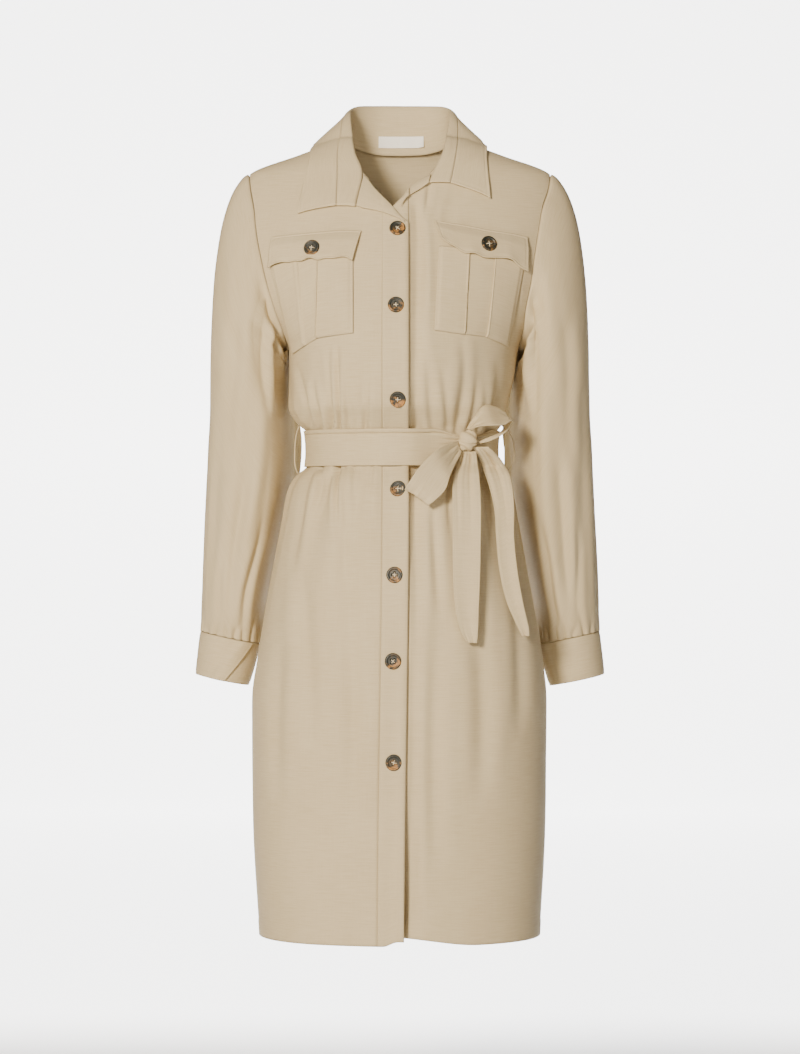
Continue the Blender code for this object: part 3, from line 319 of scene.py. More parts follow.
# %% [markdown]
# Every piece is a grid of points made into quads. The grid also gives the cloth its own map: u runs
# across the piece and v down it, both in real metres, so the weave keeps its size and its direction
# however the cloth curves. Solidify then gives the sheet its wall, which rounds off every raw edge.

# %% From grid to cloth
MM = 0.001
OUT = bpy.data.collections.new("dress")
bpy.context.scene.collection.children.link(OUT)


def arc(grid, axis):
    """Running length along one axis of a grid of points."""
    step = np.linalg.norm(np.diff(grid, axis=axis), axis=-1)
    first = np.zeros_like(np.take(step, [0], axis=axis))
    return np.cumsum(np.concatenate([first, step], axis=axis), axis=axis)


def quads(rows, cols, wrap=False):
    """Corner numbers of a grid's quads as one array; with wrap the last column joins the first."""
    i, j = np.meshgrid(np.arange(rows - 1), np.arange(cols if wrap else cols - 1), indexing="ij")
    k = (j + 1) % cols
    return stack(i * cols + j, i * cols + k, (i + 1) * cols + k, (i + 1) * cols + j).reshape(-1, 4)


def from_axis(centres, normals):
    """Positive where faces look away from the dress's upright axis."""
    return normals[:, 0] * centres[:, 0] + normals[:, 1] * centres[:, 1] + 0.001 * normals[:, 2]


def to_front(centres, normals):
    """Positive where faces look to the front."""
    return -normals[:, 1]


def mesh_of(name, points, faces, uv, finish):
    """Mesh object with its place in its points, smooth shaded, one uv pair in metres for each point."""
    mesh = bpy.data.meshes.new(name)
    mesh.from_pydata((np.asarray(points, float) * MM).tolist(), [], [list(map(int, f)) for f in faces])
    if uv is not None:
        layer = mesh.uv_layers.new(name="UVMap")
        at = np.empty(len(mesh.loops), dtype=np.int32)
        mesh.loops.foreach_get("vertex_index", at)
        layer.data.foreach_set("uv", (np.asarray(uv, float) * MM)[at].astype(np.float32).ravel())
    mesh.shade_smooth()
    mesh.materials.append(finish)
    made = bpy.data.objects.new(name, mesh)
    OUT.objects.link(made)
    return made


def wear(piece, cad):
    """The piece moves with the dress and stands for its CAD node."""
    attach(piece, "root")
    if cad:
        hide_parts(cad)


def cloth(cad, grid, wall=CLOTH, side=1.0, outward=None, uv=None, kind="cloth"):
    """Sheet for one CAD node on a grid, rows down the piece; its wall grows out (side 1) or in (-1)."""
    faces, points = quads(*grid.shape[:2]), grid.reshape(-1, 3)
    if outward is not None:
        corners = points[faces]
        normals = np.cross(corners[:, 2] - corners[:, 0], corners[:, 3] - corners[:, 1])
        if np.sum(outward(corners.mean(axis=1), normals)) < 0:
            faces = faces[:, ::-1]
    if uv is None:
        uv = stack(arc(grid, 1), arc(grid, 0))
    made = mesh_of(f"{cad}_{kind}", points, faces, uv.reshape(-1, 2), FINISH[kind])
    shell = made.modifiers.new("Cloth", "SOLIDIFY")
    shell.thickness, shell.offset = wall * MM, side
    shell.use_even_offset = False
    print(f"{cad}: {len(faces)} quads, {np.ptp(grid[..., 0]):.0f} mm wide")
    wear(made, cad)


# %% [markdown]
# Linen is spun from long uneven fibres. A thread swells into a slub every few centimetres, so the cloth
# has fine streaks that run mostly across it. It is woven plain, takes little gloss, and its raised threads
# catch the light at grazing angles, which is what sheen is for. The thread pitch of 0.4 mm is too fine to
# show, so it is drawn at 0.9 mm; the slubs keep their real size.

# %% Node helpers and the linen
def linear(code):
    """sRGB hex to the linear colour that shaders use."""
    channel = np.array([int(code[i:i + 2], 16) for i in (1, 3, 5)]) / 255
    return (*np.where(channel <= 0.04045, channel / 12.92, ((channel + 0.055) / 1.055) ** 2.4), 1.0)


def add(tree, kind, settings=None, **links):
    """Adds a node, sets its properties and its sockets, by name or number, and links its inputs.

    A link's name has _ for a space, or is i and the socket's number."""
    node = tree.nodes.new("ShaderNode" + kind)
    for key, value in (settings or {}).items():
        if isinstance(key, int) or (key in node.inputs and not hasattr(type(node), key)):
            node.inputs[key].default_value = value
        else:
            setattr(node, key, value)
    for key, source in links.items():
        slot_at = int(key[1:]) if key[0] == "i" and key[1:].isdigit() else key.replace("_", " ")
        tree.links.new(source, node.inputs[slot_at])
    return node


def material(name, **sockets):
    """New material, its tree and its shader; values go on the sockets so named, with _ for a space."""
    made = bpy.data.materials.new(name)
    made.use_nodes = True
    shader = made.node_tree.nodes["Principled BSDF"]
    for key, value in sockets.items():
        shader.inputs[key.replace("_", " ")].default_value = value
    return made, made.node_tree, shader


def linen():
    """Plain-woven linen: stretched noise for slubs both ways, two wave patterns for the threads."""
    made, tree, shader = material(
        "sand linen, plain woven", Roughness=0.68, IOR=1.46, Specular_IOR_Level=0.28, Sheen_Weight=0.12,
        Sheen_Roughness=0.45, Sheen_Tint=linear("#e9d8bb"))
    uv = add(tree, "UVMap").outputs[0]
    mm = add(tree, "VectorMath", {"operation": "SCALE", "Scale": 1000.0}, Vector=uv).outputs[0]

    def streaks(across, down, detail, rough=0.5):
        """Noise whose grains measure across x down millimetres."""
        place = add(tree, "Mapping", {"Scale": (1 / across, 1 / down, 1)}, Vector=mm).outputs[0]
        looks = {"Scale": 1.0, "Detail": detail, "Roughness": rough}
        return add(tree, "TexNoise", looks, Vector=place).outputs[0]

    def threads(way):
        """Bands 0.9 mm apart; a wave of scale 1 repeats 3.2 times for each unit."""
        return add(tree, "TexWave", {"wave_type": "BANDS", "bands_direction": way, "Scale": 1 / 0.9 / 3.2,
                                     "Distortion": 1.2, "Detail": 1.0}, Vector=mm).outputs[1]

    weft_slub, warp_slub, cloud = streaks(26, 1.3, 3.0, 0.6), streaks(1.5, 44, 2.0), streaks(60, 90, 2.0)
    mixed = add(tree, "Math", {"operation": "MULTIPLY_ADD", 1: 0.25}, i0=warp_slub, i2=weft_slub)
    shade = add(tree, "Math", {"operation": "MULTIPLY_ADD", 1: 0.35}, i0=cloud, i2=mixed.outputs[0])
    ramp = add(tree, "ValToRGB", Fac=shade.outputs[0])
    dark, light = ramp.color_ramp.elements
    dark.position, dark.color = 0.58, linear("#c4b391")
    light.position, light.color = 1.02, linear("#cfc0a0")
    tree.links.new(ramp.outputs[0], shader.inputs["Base Color"])
    crossing = add(tree, "Math", {"operation": "MULTIPLY"}, i0=threads("Y"), i1=threads("X"))
    relief = add(tree, "Math", {"operation": "MULTIPLY_ADD", 1: 1.1}, i0=weft_slub, i2=crossing.outputs[0])
    bump = add(tree, "Bump", {"Strength": 0.35, "Distance": 0.00016}, Height=relief.outputs[0])
    tree.links.new(bump.outputs[0], shader.inputs["Normal"])
    return made


FINISH = {"cloth": linen()}
print("linen nodes:", len(FINISH["cloth"].node_tree.nodes))

# %% [markdown]
# Back and fronts meet at the side seams, the shoulders and the armholes. Below the underarm a panel is a
# plain grid of (angle, drop). Above it the grid has to fit between four curved edges, so it is a Coons
# patch: each inner point is blended from the points that face it on the four edges.

# %% Edges of the panels
ARMHOLE = table("drop front_right front_left back_right back_left", [
    (44, 187, 187, 187, 187), (62, 185, 184, 184, 184), (90, 180, 175, 179, 178),
    (118, 177, 170, 175, 173), (150, 171, 165, 170, 168), (185, 163, 160, 163, 162),
    (215, 154, 154, 155, 157), (240, 145, 151, 146, 152), (262, 138, 147, 138, 147)])
NECK = both("x drop", [
    (-21.3, 80), (-31, 68), (-40, 57), (-47, 48), (-57, 30), (-66, 13), (-72, 0)], [
    (10.3, 70), (21, 59), (31, 54), (40, 48), (52, 34), (64, 14), (72, 0)])
LOW_ROWS, UP_ROWS = 184, 66


def patch(bottom, top, left, right):
    """Coons patch between four edges in (angle, drop): bottom and top run across, left and right up."""
    s = np.linspace(0, 1, len(bottom))[None, :, None]
    t = np.linspace(0, 1, len(left))[:, None, None]
    return ((1 - t) * bottom + t * top + (1 - s) * left[:, None] + s * right[:, None]
            - (1 - t) * ((1 - s) * bottom[0] + s * bottom[-1]) - t * ((1 - s) * top[0] + s * top[-1]))


def armhole_edge(side, back=False):
    """Armhole from the underarm up to the shoulder tip as (angle, drop)."""
    drops = np.array([262, 250, 235, 216, 192, 165, 135, 105, 78, 57, 44], float)
    drops = np.interp(np.linspace(0, 1, UP_ROWS), np.linspace(0, 1, len(drops)), drops)
    name = ("back_" if back else "front_") + ("right" if side < 0 else "left")
    angle = angle_at(side * read(ARMHOLE, drops, name)[0], drops, back)
    angle[0] = angle[-1] = side * np.pi / 2
    return stack(angle, drops)


def ridge(angle, count):
    """Shoulder seam from the neck out to the tip as (angle, drop)."""
    return stack(angle, np.linspace(0, TIP_DROP, count))


def shrink(grid, top=0.0, first=0.0, last=0.0):
    """Draw the border in along its own rows and columns, to leave the fine line of a seam."""
    moved = grid.copy()
    for inner, edge, distance in ((np.s_[:, 1], np.s_[:, 0], first), (np.s_[:, -2], np.s_[:, -1], last),
                                  (np.s_[-2], np.s_[-1], top)):
        gap = grid[inner] - moved[edge]
        moved[edge] += gap / length_of(gap) * distance
    return moved


def seam_line(distance, at, width=0.9):
    """Height of a line of stitching: a narrow trough where the distance from the edge is at."""
    return -0.45 * bell((distance - at) / width)


print("rows in a panel:", LOW_ROWS + UP_ROWS)

# %% The two fronts
def band_edge(side, drop):
    """Angle of the seam between a front and its band."""
    return angle_at(closure(drop) + side * (BAND_WIDTH / 2 + 0.3), drop)


def front_rows(side, cols=78):
    """(angle, drop) of a front, hem first; columns run from the band to the side."""
    drops = np.linspace(HEM, UNDERARM, LOW_ROWS)[:, None]
    edge = band_edge(side, drops)
    lower = stack(edge + (side * np.pi / 2 - edge) * np.linspace(0, 1, cols), drops)
    knots = NECK[side]
    angle = angle_at(knots["x"], knots["drop"])
    angle[-1] = side * np.pi / 2
    neck_cols = cols * 9 // 19
    top = np.vstack([spline(stack(angle, knots["drop"]), neck_cols),
                     ridge(side * np.pi / 2, cols - neck_cols + 1)[1:]])
    up = np.linspace(UNDERARM, knots["drop"][0], UP_ROWS)
    upper = patch(lower[-1], top, stack(band_edge(side, up), up), armhole_edge(side))
    upper[-1] = top
    return np.vstack([lower, upper[1:]])


def parted(x, drop):
    """Below the last button the left front falls back by up to 9 mm beside the closure."""
    return 9.0 * smooth((drop - 775) / 190) * bell((x - closure(drop) - 12) / 17)


def hem_rise(x, drop, side):
    """The hem swings up beside the closure: 6 mm over 20 mm on the right front, 9 mm over 95 on the left."""
    height, reach = (6.0, 20.0) if side < 0 else (9.0, 95.0)
    return height * (1 - smooth((side * x - 1) / reach)) * smooth((drop - 900) / 90)


def hemmed(points, rows):
    """Turned-up hem: doubled cloth below its stitching, which pulls in a fine line 18 mm up."""
    _, _, nx, ny = section(rows[..., 0], rows[..., 1])
    height = 0.5 * smooth((rows[..., 1] - 972) / 1.5) + seam_line(HEM - rows[..., 1], 18.5, 1.2)
    return points + stack(nx * height, ny * height, 0)


fronts = {}
for side, name in SIDES:
    rows = front_rows(side)
    points = body_point(rows[..., 0], rows[..., 1])
    x = points[..., 0]
    points[..., 1] += parted(x, rows[..., 1]) if side > 0 else -lap(x, rows[..., 1])
    points[..., 2] += hem_rise(x, rows[..., 1], side)
    fronts[side] = points
    points = hemmed(points, rows)
    cloth("front_" + name, shrink(points, last=0.1, top=0.3), outward=from_axis,
          uv=stack(side * arc(points, 1), rows[..., 1]))

# %% The back
def back_rows(cols=136):
    """(angle, drop) of the back, hem first, from the right side seam round to the left one."""
    angles = np.linspace(-np.pi / 2, -3 * np.pi / 2, cols)
    lower = stack(angles, np.linspace(HEM, UNDERARM, LOW_ROWS)[:, None])
    neck_cols = cols * 15 // 33 // 2 * 2
    side_cols = (cols - neck_cols) // 2 + 1
    across = np.linspace(-np.pi / 2, -3 * np.pi / 2, neck_cols)
    neck = stack(across, 8 * np.abs(np.cos(across)) ** 0.8)
    top = np.vstack([ridge(-np.pi / 2, side_cols)[::-1], neck[1:-1], ridge(-3 * np.pi / 2, side_cols)])
    upper = patch(lower[-1], top, armhole_edge(-1, back=True), armhole_edge(1, back=True) - [2 * np.pi, 0])
    return np.vstack([lower, upper[1:]])


rows = back_rows()
back = body_point(rows[..., 0], rows[..., 1])
cloth("back", shrink(hemmed(back, rows), first=0.1, last=0.1, top=0.3), outward=from_axis,
      uv=stack(arc(back, 1), rows[..., 1]))

# %% [markdown]
# A button band is a folded strip sewn down both long edges. It is doubled, so it lies flatter and firmer
# than the panel, and a line of stitching shows as a groove a few millimetres in from each fold.

# %% The button bands
BAND_TOP = 80.0


def band_grid(drop_right, drop_left, lift, cols=17):
    """Strip along the closure, slanted at its top from one drop to the other, with its two grooves."""
    t = np.linspace(0, 1, cols)
    start = drop_right + (drop_left - drop_right) * t
    rows = np.concatenate([np.linspace(BAND_TOP, UNDERARM, 70), np.linspace(UNDERARM, HEM, 231)[1:]])[:, None]
    slanted = start + (rows - BAND_TOP) / (UNDERARM - BAND_TOP) * (UNDERARM - start)
    drop = np.where(rows <= UNDERARM, slanted, rows)
    x = closure(drop) + (t - 0.5) * (BAND_WIDTH + 0.8)
    edge = np.minimum(t, 1 - t) * BAND_WIDTH
    point = body_point(angle_at(x, drop), drop)
    point[..., 1] -= lift + 0.5 * smooth(edge / 3.0) + seam_line(edge, 2.6, 0.7)
    if lift:
        point[..., 1] -= 4.5 * smooth((drop - 775) / 190) * smooth((t - 0.4) / 0.6)
    else:
        point[..., 1] += parted(x, drop)
    point[..., 2] += hem_rise(x, drop, -1 if lift else 1)
    return point, stack(arc(point, 1), drop)


for name, starts, lift in (("left", (104, 71), 0.0), ("right", (81, 112), LAP_RAISE)):
    points, uv = band_grid(*starts, lift)
    cloth("band_" + name, points, wall=1.5, outward=from_axis, uv=uv)

# %% [markdown]
# A sleeve is a tube whose rings are ovals, tilted and shifted to follow a hanging arm. At the top it has
# to meet the armhole seam, which is no oval at all, so the first rows are a Hermite blend: each thread
# leaves the seam in one direction and arrives on the first ring in another. A shirt cuff takes in more
# cloth than it is long, so the sleeve ends in small gathers.

# %% Rings of the sleeve
SLEEVE = table("drop outer right left hug middle half_depth tilt", [
    (300, 236.5, 142, 143, 28, 6, 56, 2), (345, 237.5, 138, 143, 24, 14, 57, 3),
    (390, 240.5, 136, 144, 24, 21, 56, 4), (440, 243, 141, 146, 20, 29, 54, 5),
    (500, 246, 153, 155, 8, 38, 51, 7), (560, 249, 166, 166, 0, 46, 47, 9),
    (600, 251, 174, 174, 0, 52, 44, 10), (622, 252, 177, 177, 0, 56, 41, 12)])
CUFF = table("drop outer right left hug middle half_depth tilt", [
    (623.8, 252.5, 177.5, 177.5, 0, 56, 40.5, 12), (651, 256, 184, 184, 0, 58, 39.5, 12),
    (677, 259, 192, 192, 0, 60, 38.5, 12)])
# folds of the sleeve: turn and drop at both ends, width in turns, depth in mm
SLEEVE_FOLDS = table("turn0 drop0 turn1 drop1 width depth", [
    (0.43, 150, 0.385, 345, 0.022, -5), (0.3, 330, 0.285, 560, 0.03, 3),
    (0.335, 170, 0.32, 340, 0.03, -2.6), (0.39, 190, 0.345, 350, 0.016, 2.6),
    (0.2, 250, 0.17, 420, 0.03, -1.8), (0.12, 330, 0.14, 560, 0.03, -1.4),
    (0.24, 430, 0.23, 600, 0.022, -2.2), (0.33, 500, 0.31, 612, 0.016, -2.6),
    (0.18, 500, 0.2, 616, 0.018, -1.6), (0.58, 280, 0.66, 400, 0.024, -3.2),
    (0.62, 400, 0.66, 560, 0.026, -2.8), (0.74, 280, 0.78, 470, 0.03, -2.2),
    (0.86, 320, 0.84, 560, 0.03, -1.8), (0.8, 480, 0.78, 612, 0.02, -2), (0.7, 470, 0.72, 610, 0.018, -2),
    (0.95, 480, 0.94, 600, 0.024, -1.4), (0.04, 440, 0.05, 606, 0.022, -1.4)])
FACET_FROM, FACET_DEPTH = 0.34, 38.0  # the inner front falls back towards the body
GATHER_AT = np.array([0.02, 0.075, 0.13, 0.175, 0.235, 0.28, 0.325, 0.375, 0.43, 0.50, 0.56, 0.62, 0.67, 0.73,
                      0.78, 0.84, 0.89, 0.945])


def ring(side, drop, rows, turn, swell=0.0):
    """Oval at each drop: x = centre - half * cos(2 pi turn), y = middle - depth * sin(2 pi turn), tilted."""
    outer, inner, hug, middle, depth, tilt = read(rows, drop, "outer", "right" if side < 0 else "left", "hug",
                                                  "middle", "half_depth", "tilt")
    across = -np.cos(2 * np.pi * turn) * ((outer - inner) / 2 + swell)
    x = -(outer + inner) / 2 + across + hug * bell((turn - 0.63) / 0.07)
    facet = smooth((turn % 1 - FACET_FROM) / 0.11) * smooth((0.76 - turn % 1) / 0.24)
    y = middle - np.sin(2 * np.pi * turn) * (depth + swell)
    y = y + FACET_DEPTH * facet * smooth((drop - 230) / 90) * smooth((625 - drop) / 60)
    return stack(-side * x, y, -drop - across * np.tan(np.radians(tilt)))


def sleeve_relief(turn, drop, side):
    """Height of the sleeve's folds and of its gathers into the cuff.

    Each fold is a bell across a slanted line, faded at its ends; each gather is a narrow trough that
    starts at the cuff and dies 25 to 60 mm above it."""
    height = 0.5 * noise(turn * 14, drop / 70, 11 + side) + 0.15 * noise(turn * 60, drop / 20, 17 + side)
    for t0, d0, t1, d1, width, depth in zip(*SLEEVE_FOLDS.values()):
        u = np.clip((drop - d0) / (d1 - d0), 0, 1)
        over = np.maximum(np.maximum(d0 - drop, drop - d1), 0) / 22
        away = np.abs(turn - t0 - (t1 - t0) * u + 0.008 * np.sin(5 * u + side)) / width
        ends = bell(over) * np.sin(np.pi * np.clip(0.15 + 0.85 * u, 0, 1)) ** 0.6
        height = height + 1.6 * depth * (bell(away) - 0.35 * bell(away - 1.9)) * ends
    reach = 34 + 16 * np.sin(40 * GATHER_AT + side)
    for k, (at, length) in enumerate(zip(GATHER_AT + 0.004 * side, reach)):
        near = smooth((drop - (622 - length)) / length) ** 1.4
        away = np.abs(turn - at + 0.012 * (1 - near) * (-1) ** k) / (0.008 + 0.006 * (1 - near))
        height = height + near * (0.9 * bell((away - 2.2) / 1.2) - (2.2 + 0.6 * np.sin(9 * k)) * bell(away))
    return height


print("sleeve rings from drop", SLEEVE["drop"][0], "to", SLEEVE["drop"][-1])

# %% Clear of the body
def body_ratio(points):
    """1 on the body's surface, less inside it: ((x / side)^n + (y / depth)^n)^(1/n) in its own section."""
    x, y, z = np.moveaxis(points, -1, 0)
    power, right, left, front, behind = read(BODY, -z, "square", "right", "left", "front", "back")
    return (np.abs(x / np.where(x < 0, right, left)) ** power
            + np.abs(y / np.where(y < 0, front, behind)) ** power) ** (1 / power)


def clear_of_body(points, gap):
    """Points moved up the slope of body_ratio until they lie at least gap off; above z = 2 they stay."""
    moved = points.copy()
    reach = gap * smooth((10 - moved[..., 2]) / 10)
    for _ in range(6):
        ratio = body_ratio(moved)
        slope = stack(*(body_ratio(moved + step) - ratio for step in 0.5 * np.eye(3))) / 0.5
        steep = length_of(slope)
        short = reach[..., None] - (ratio[..., None] - 1) / steep
        push = np.where(moved[..., 2:] < 2, np.maximum(short, 0), 0)
        moved = moved + slope / steep * push
    return moved


# %% The sleeves and cuffs
SLEEVE_COLS = 142
SLEEVE_DROPS = np.concatenate([np.linspace(300, 560, 88), np.linspace(562.5, 623, 38)])


def armhole_loop(side, turns):
    """Seam points from the shoulder tip down the front, round the underarm and up the back."""
    down = fronts[side][LOW_ROWS - 1:, -1][::-1]
    up = back[LOW_ROWS - 1:, 0 if side < 0 else -1]
    loop = np.vstack([down, up[1:]])
    places = np.linspace(0, 1, len(loop))
    return stack(*(np.interp(turns, places, loop[:, k]) for k in range(3)))


def outward_of(grid):
    """Unit normals of a tube's grid by central differences, turned away from each ring's middle."""
    normal = np.cross(np.roll(grid, -1, 1) - np.roll(grid, 1, 1), np.gradient(grid, axis=0))
    normal /= length_of(normal) + 1e-9
    away = grid - grid.mean(axis=1, keepdims=True)
    return normal * np.sign(np.sum(normal * away, axis=-1, keepdims=True) + 1e-9)


def sleeve_grid(side):
    """Hermite rows from the armhole to the first ring, then the rings, with the relief on top."""
    turns = np.linspace(0, 1, SLEEVE_COLS, endpoint=False)
    wave = 2 * np.pi * turns
    seam = armhole_loop(side, turns)
    outwards = stack(side, -0.15 * np.sin(wave), 0)
    turned_in = seam + outwards * 0.1 - stack(0, -np.sin(wave), np.cos(wave)) * 3.5
    start = seam + outwards * 0.35 + stack(0, 0, 0.4 * np.cos(wave))
    aside = (60 + 75 * (0.5 + 0.5 * np.cos(wave))) * np.where(np.cos(wave) < -0.3, 0.55, 1.0)
    leave = stack(side * (aside - 52 * bell((turns - 0.58) / 0.07)), -34 * np.sin(wave),
                  -60 - 110 * np.abs(np.sin(wave / 2) * np.cos(wave / 2)))
    end = ring(side, SLEEVE_DROPS[0], SLEEVE, turns)
    arrive = (ring(side, SLEEVE_DROPS[0] + 10, SLEEVE, turns) - end) / 10 * length_of(end - start)
    t = np.linspace(0, 1, 66)[:-1]
    tube = ring(side, SLEEVE_DROPS[:, None], SLEEVE, turns)
    grid = np.concatenate([hermite(start, end, leave, arrive, t[:, None, None]), tube])
    drop = -grid[..., 2]
    near_seam = np.concatenate([t * 18, np.full(len(tube), 99.0)])[:, None]
    height = sleeve_relief(turns, drop, side) * smooth(near_seam / 6)
    height = height + 0.9 * bell((near_seam - 0.8) / 0.9) * (0.5 + 0.5 * np.cos(wave))
    wide, deep = (1.4, 9.0) if side < 0 else (2.6, 12.0)
    dip = near_seam / wide * np.exp(0.5 * (1 - (near_seam / wide) ** 2))
    front = smooth((turns - 0.22) / 0.14) * smooth((0.53 - turns) / 0.04)
    height = height - front * (deep * dip + 2.0 * bell((near_seam - 7.5) / 1.2))
    grid = grid + outward_of(grid) * height[..., None]
    grid[0] = turned_in
    below = smooth((drop - UNDERARM) / 12)
    grid[1:] = clear_of_body(grid[1:], (4.0 * below - 99 * (1 - below))[1:])
    return grid


def cuff_grid(side):
    """Cuff that laps over its own end; its two long edges are stitched, and it narrows a little at them."""
    t = np.linspace(0, 1, 34)[:, None]
    first, last, length = 0.40, 1.46, 225
    place = np.linspace(first, last, 170)
    turns = place - (0.075 + 0.115 * (1 - t) if side < 0 else 0.0)
    edge = np.minimum(t, 1 - t) * 53
    end = np.minimum(place - first, last - place) * length
    height = 3.4 * smooth((place - 1.36) / 0.05) + 0.7 * smooth(edge / 3) + seam_line(edge, 3.0, 0.8)
    hand = 0.35 * noise(turns * 12, t * 3, 23 + side) * np.sin(np.pi * t)
    height = height + hand + seam_line(end, 3.0, 0.8)
    return ring(side, CUFF["drop"][-1] - (CUFF["drop"][-1] - CUFF["drop"][0]) * t, CUFF, turns, height)


for side, name in SIDES:
    def around(c, n):
        """Positive where faces look away from the sleeve's own middle, 190 mm out and 20 mm back."""
        return n[:, 0] * (c[:, 0] - side * 190) + n[:, 1] * (c[:, 1] - 20)

    tube = np.roll(sleeve_grid(side), -SLEEVE_COLS // 2, axis=1)  # its own seam runs under the arm
    cloth("sleeve_" + name, np.concatenate([tube, tube[:, :1]], axis=1), outward=around)
    cloth("cuff_" + name, cuff_grid(side), wall=1.5, side=-1.0, outward=around)

# %% [markdown]
# A shirt collar is a strip sewn to the neck that stands up, rolls over and falls as a leaf. Four guide
# curves run round the neck: the seam, the roll, the line where the stand ends and the outer edge. Grids
# between them give the stand and the leaf. Whatever would sink into the shoulders is pushed out along the
# body's slope, which is what cloth does when it comes to rest on cloth.

# %% The collar
GUIDES = "seam_x seam_y seam_z roll_x roll_y roll_z join_x join_y join_z edge_x edge_y edge_z"
COLLAR = both(GUIDES, [
    (0, 61.5, -6, 0, 73, 51, 0, 80, 46, 0, 89, -13),
    (-28, 58.5, -5, -30, 70, 50.5, -31, 77, 46, -36, 88, -14),
    (-50, 45, -3, -52, 56, 48, -56, 62, 43, -72, 76, -16),
    (-64, 24, 0, -61, 35, 41, -68, 37, 36, -98, 46, -13),
    (-69, 2, 2.5, -62, 11, 31, -72, 11, 26, -108, 3, -6.5),
    (-66, -12, -5, -60, -9, 10, -74, -10, 4, -112, -26, -31),
    (-56, -30, -25, -56, -33, -22, -76, -30, -28, -117, -42, -55),
    (-49, -52, -46, -47.5, -55, -47, -77, -53, -55, -123, -58, -80),
    (-57, -73, -91, -55, -76, -91, -78, -74, -89, -126, -66, -99)], [
    (0, 61.5, -6, 0, 73, 51, 0, 80, 46, 0, 89, -13), (28, 58.5, -5, 30, 70, 50.5, 31, 77, 46, 36, 88, -14),
    (50, 45, -3, 52, 56, 48, 56, 62, 43, 72, 76, -16), (64, 24, 0, 62, 35, 41, 69, 37, 36, 98, 46, -13),
    (69, 2, 2.5, 62.5, 11, 31, 72, 11, 26, 107, 3, -6.5),
    (66, -12, -5, 59, -9, 8, 72, -10, 3, 107, -24, -24),
    (56, -30, -25, 53, -31, -21, 69, -31, -22, 108, -40, -44),
    (44, -50, -45, 42, -52, -45, 66, -46, -42, 109, -49, -62),
    (37, -59, -61, 36, -61, -60, 62, -58, -61, 110, -57, -82)])


def curve(rows, name, count, axes="xyz"):
    """Smooth curve through the columns of a table that share a name."""
    return spline(stack(*(rows[f"{name}_{k}"] for k in axes)), count)


def guide(name, count=90):
    """Guide curve from the right front end, round the back of the neck, to the left front end."""
    return np.vstack([curve(COLLAR[-1], name, count)[::-1], curve(COLLAR[1], name, count)[1:]])


# %% Stand and leaf
def stand_and_leaf():
    """Rows between the guides: seam to roll is nearly flat, roll to join is a tight fold over the top,
    join to edge is a shallow arch, out * 5 * sin(pi t), so that the leaf stands off the shoulder."""
    seam, roll, join, edge = (guide(k) for k in ("seam", "roll", "join", "edge"))
    top = 0.5 * (roll + join) + [0, 0, 1] * np.minimum(0.06 * length_of(roll - seam), 2.2)
    stand = np.concatenate([seam + (roll - seam) * np.linspace(0, 0.9, 16)[:, None, None],
                            bend(roll, top, join, np.linspace(0, 1, 9)[:, None, None])])
    gaps = np.interp(np.linspace(0, 1, len(stand)), [0, 0.5, 0.64, 0.8, 1], [2.0, 2.4, 3.4, 4.8, 4.6])
    out = (join - roll) / np.maximum(length_of(join - roll), 1e-6)
    start = join + (edge - join) / length_of(edge - join) * 0.4
    t = np.linspace(0, 1, 30)[:, None, None]
    leaf = start + (edge - start) * t + out * 5.0 * np.sin(np.pi * t) * (0.6 + 0.4 * t)
    leaf_gaps = np.interp(t[..., 0], [0, 0.4, 0.8, 1], [4.6, 4.4, 4.2, 4.2])
    return clear_of_body(stand, gaps[:, None]), clear_of_body(leaf, leaf_gaps)


def grid_normal(grid):
    """Unit normals of an open grid: cross product of its two central differences."""
    normal = np.cross(np.gradient(grid, axis=1), np.gradient(grid, axis=0))
    return normal / (length_of(normal) + 1e-9)


stand, leaf = stand_and_leaf()
across, along = arc(leaf, 1), arc(leaf, 0)
below = along[-1:] - along
edge = np.minimum(np.minimum(across, across[:, -1:] - across), below)
relief = 1.3 * seam_line(edge, 4.5, 0.9) + 0.45 * noise(across / 22, along / 18, 31)
relief = relief + 1.2 * np.exp(-below / 5) * np.sin(across / 9 + np.sin(across / 23))
facing_out = np.sign(grid_normal(leaf)[:, 100:101, 1:2].mean())
cloth("collar_leaf", leaf + grid_normal(leaf) * relief[..., None] * facing_out, wall=1.3, side=0.0)
radial = stand[0] * [1, 1, 0] / length_of(stand[0, :, :2])
behind = smooth((stand[0, :, 1:2] - 5) / 25)
tucked = [stand[0] + behind * (radial * out - [0, 0, down]) for out, down in ((-3.0, 8.0), (-2.6, 3.0))]
stand = np.concatenate([np.stack(tucked), stand])  # its inner layer is turned in over the neck seam
relief = 0.25 * noise(arc(stand, 1) / 25, arc(stand, 0) / 15, 37) + seam_line(arc(stand, 0), 17, 0.9)
cloth("collar_stand", stand + grid_normal(stand) * relief[..., None], wall=1.3, side=0.0)

# %% [markdown]
# Pockets, flaps and the turned-back front edges are flat pieces sewn onto a curved chest. Their outlines
# are tables of x and z as seen from the front; each point takes the chest's depth there plus its own
# height. A box pleat is a height profile across the pocket: two folded edges that stand over a recess.

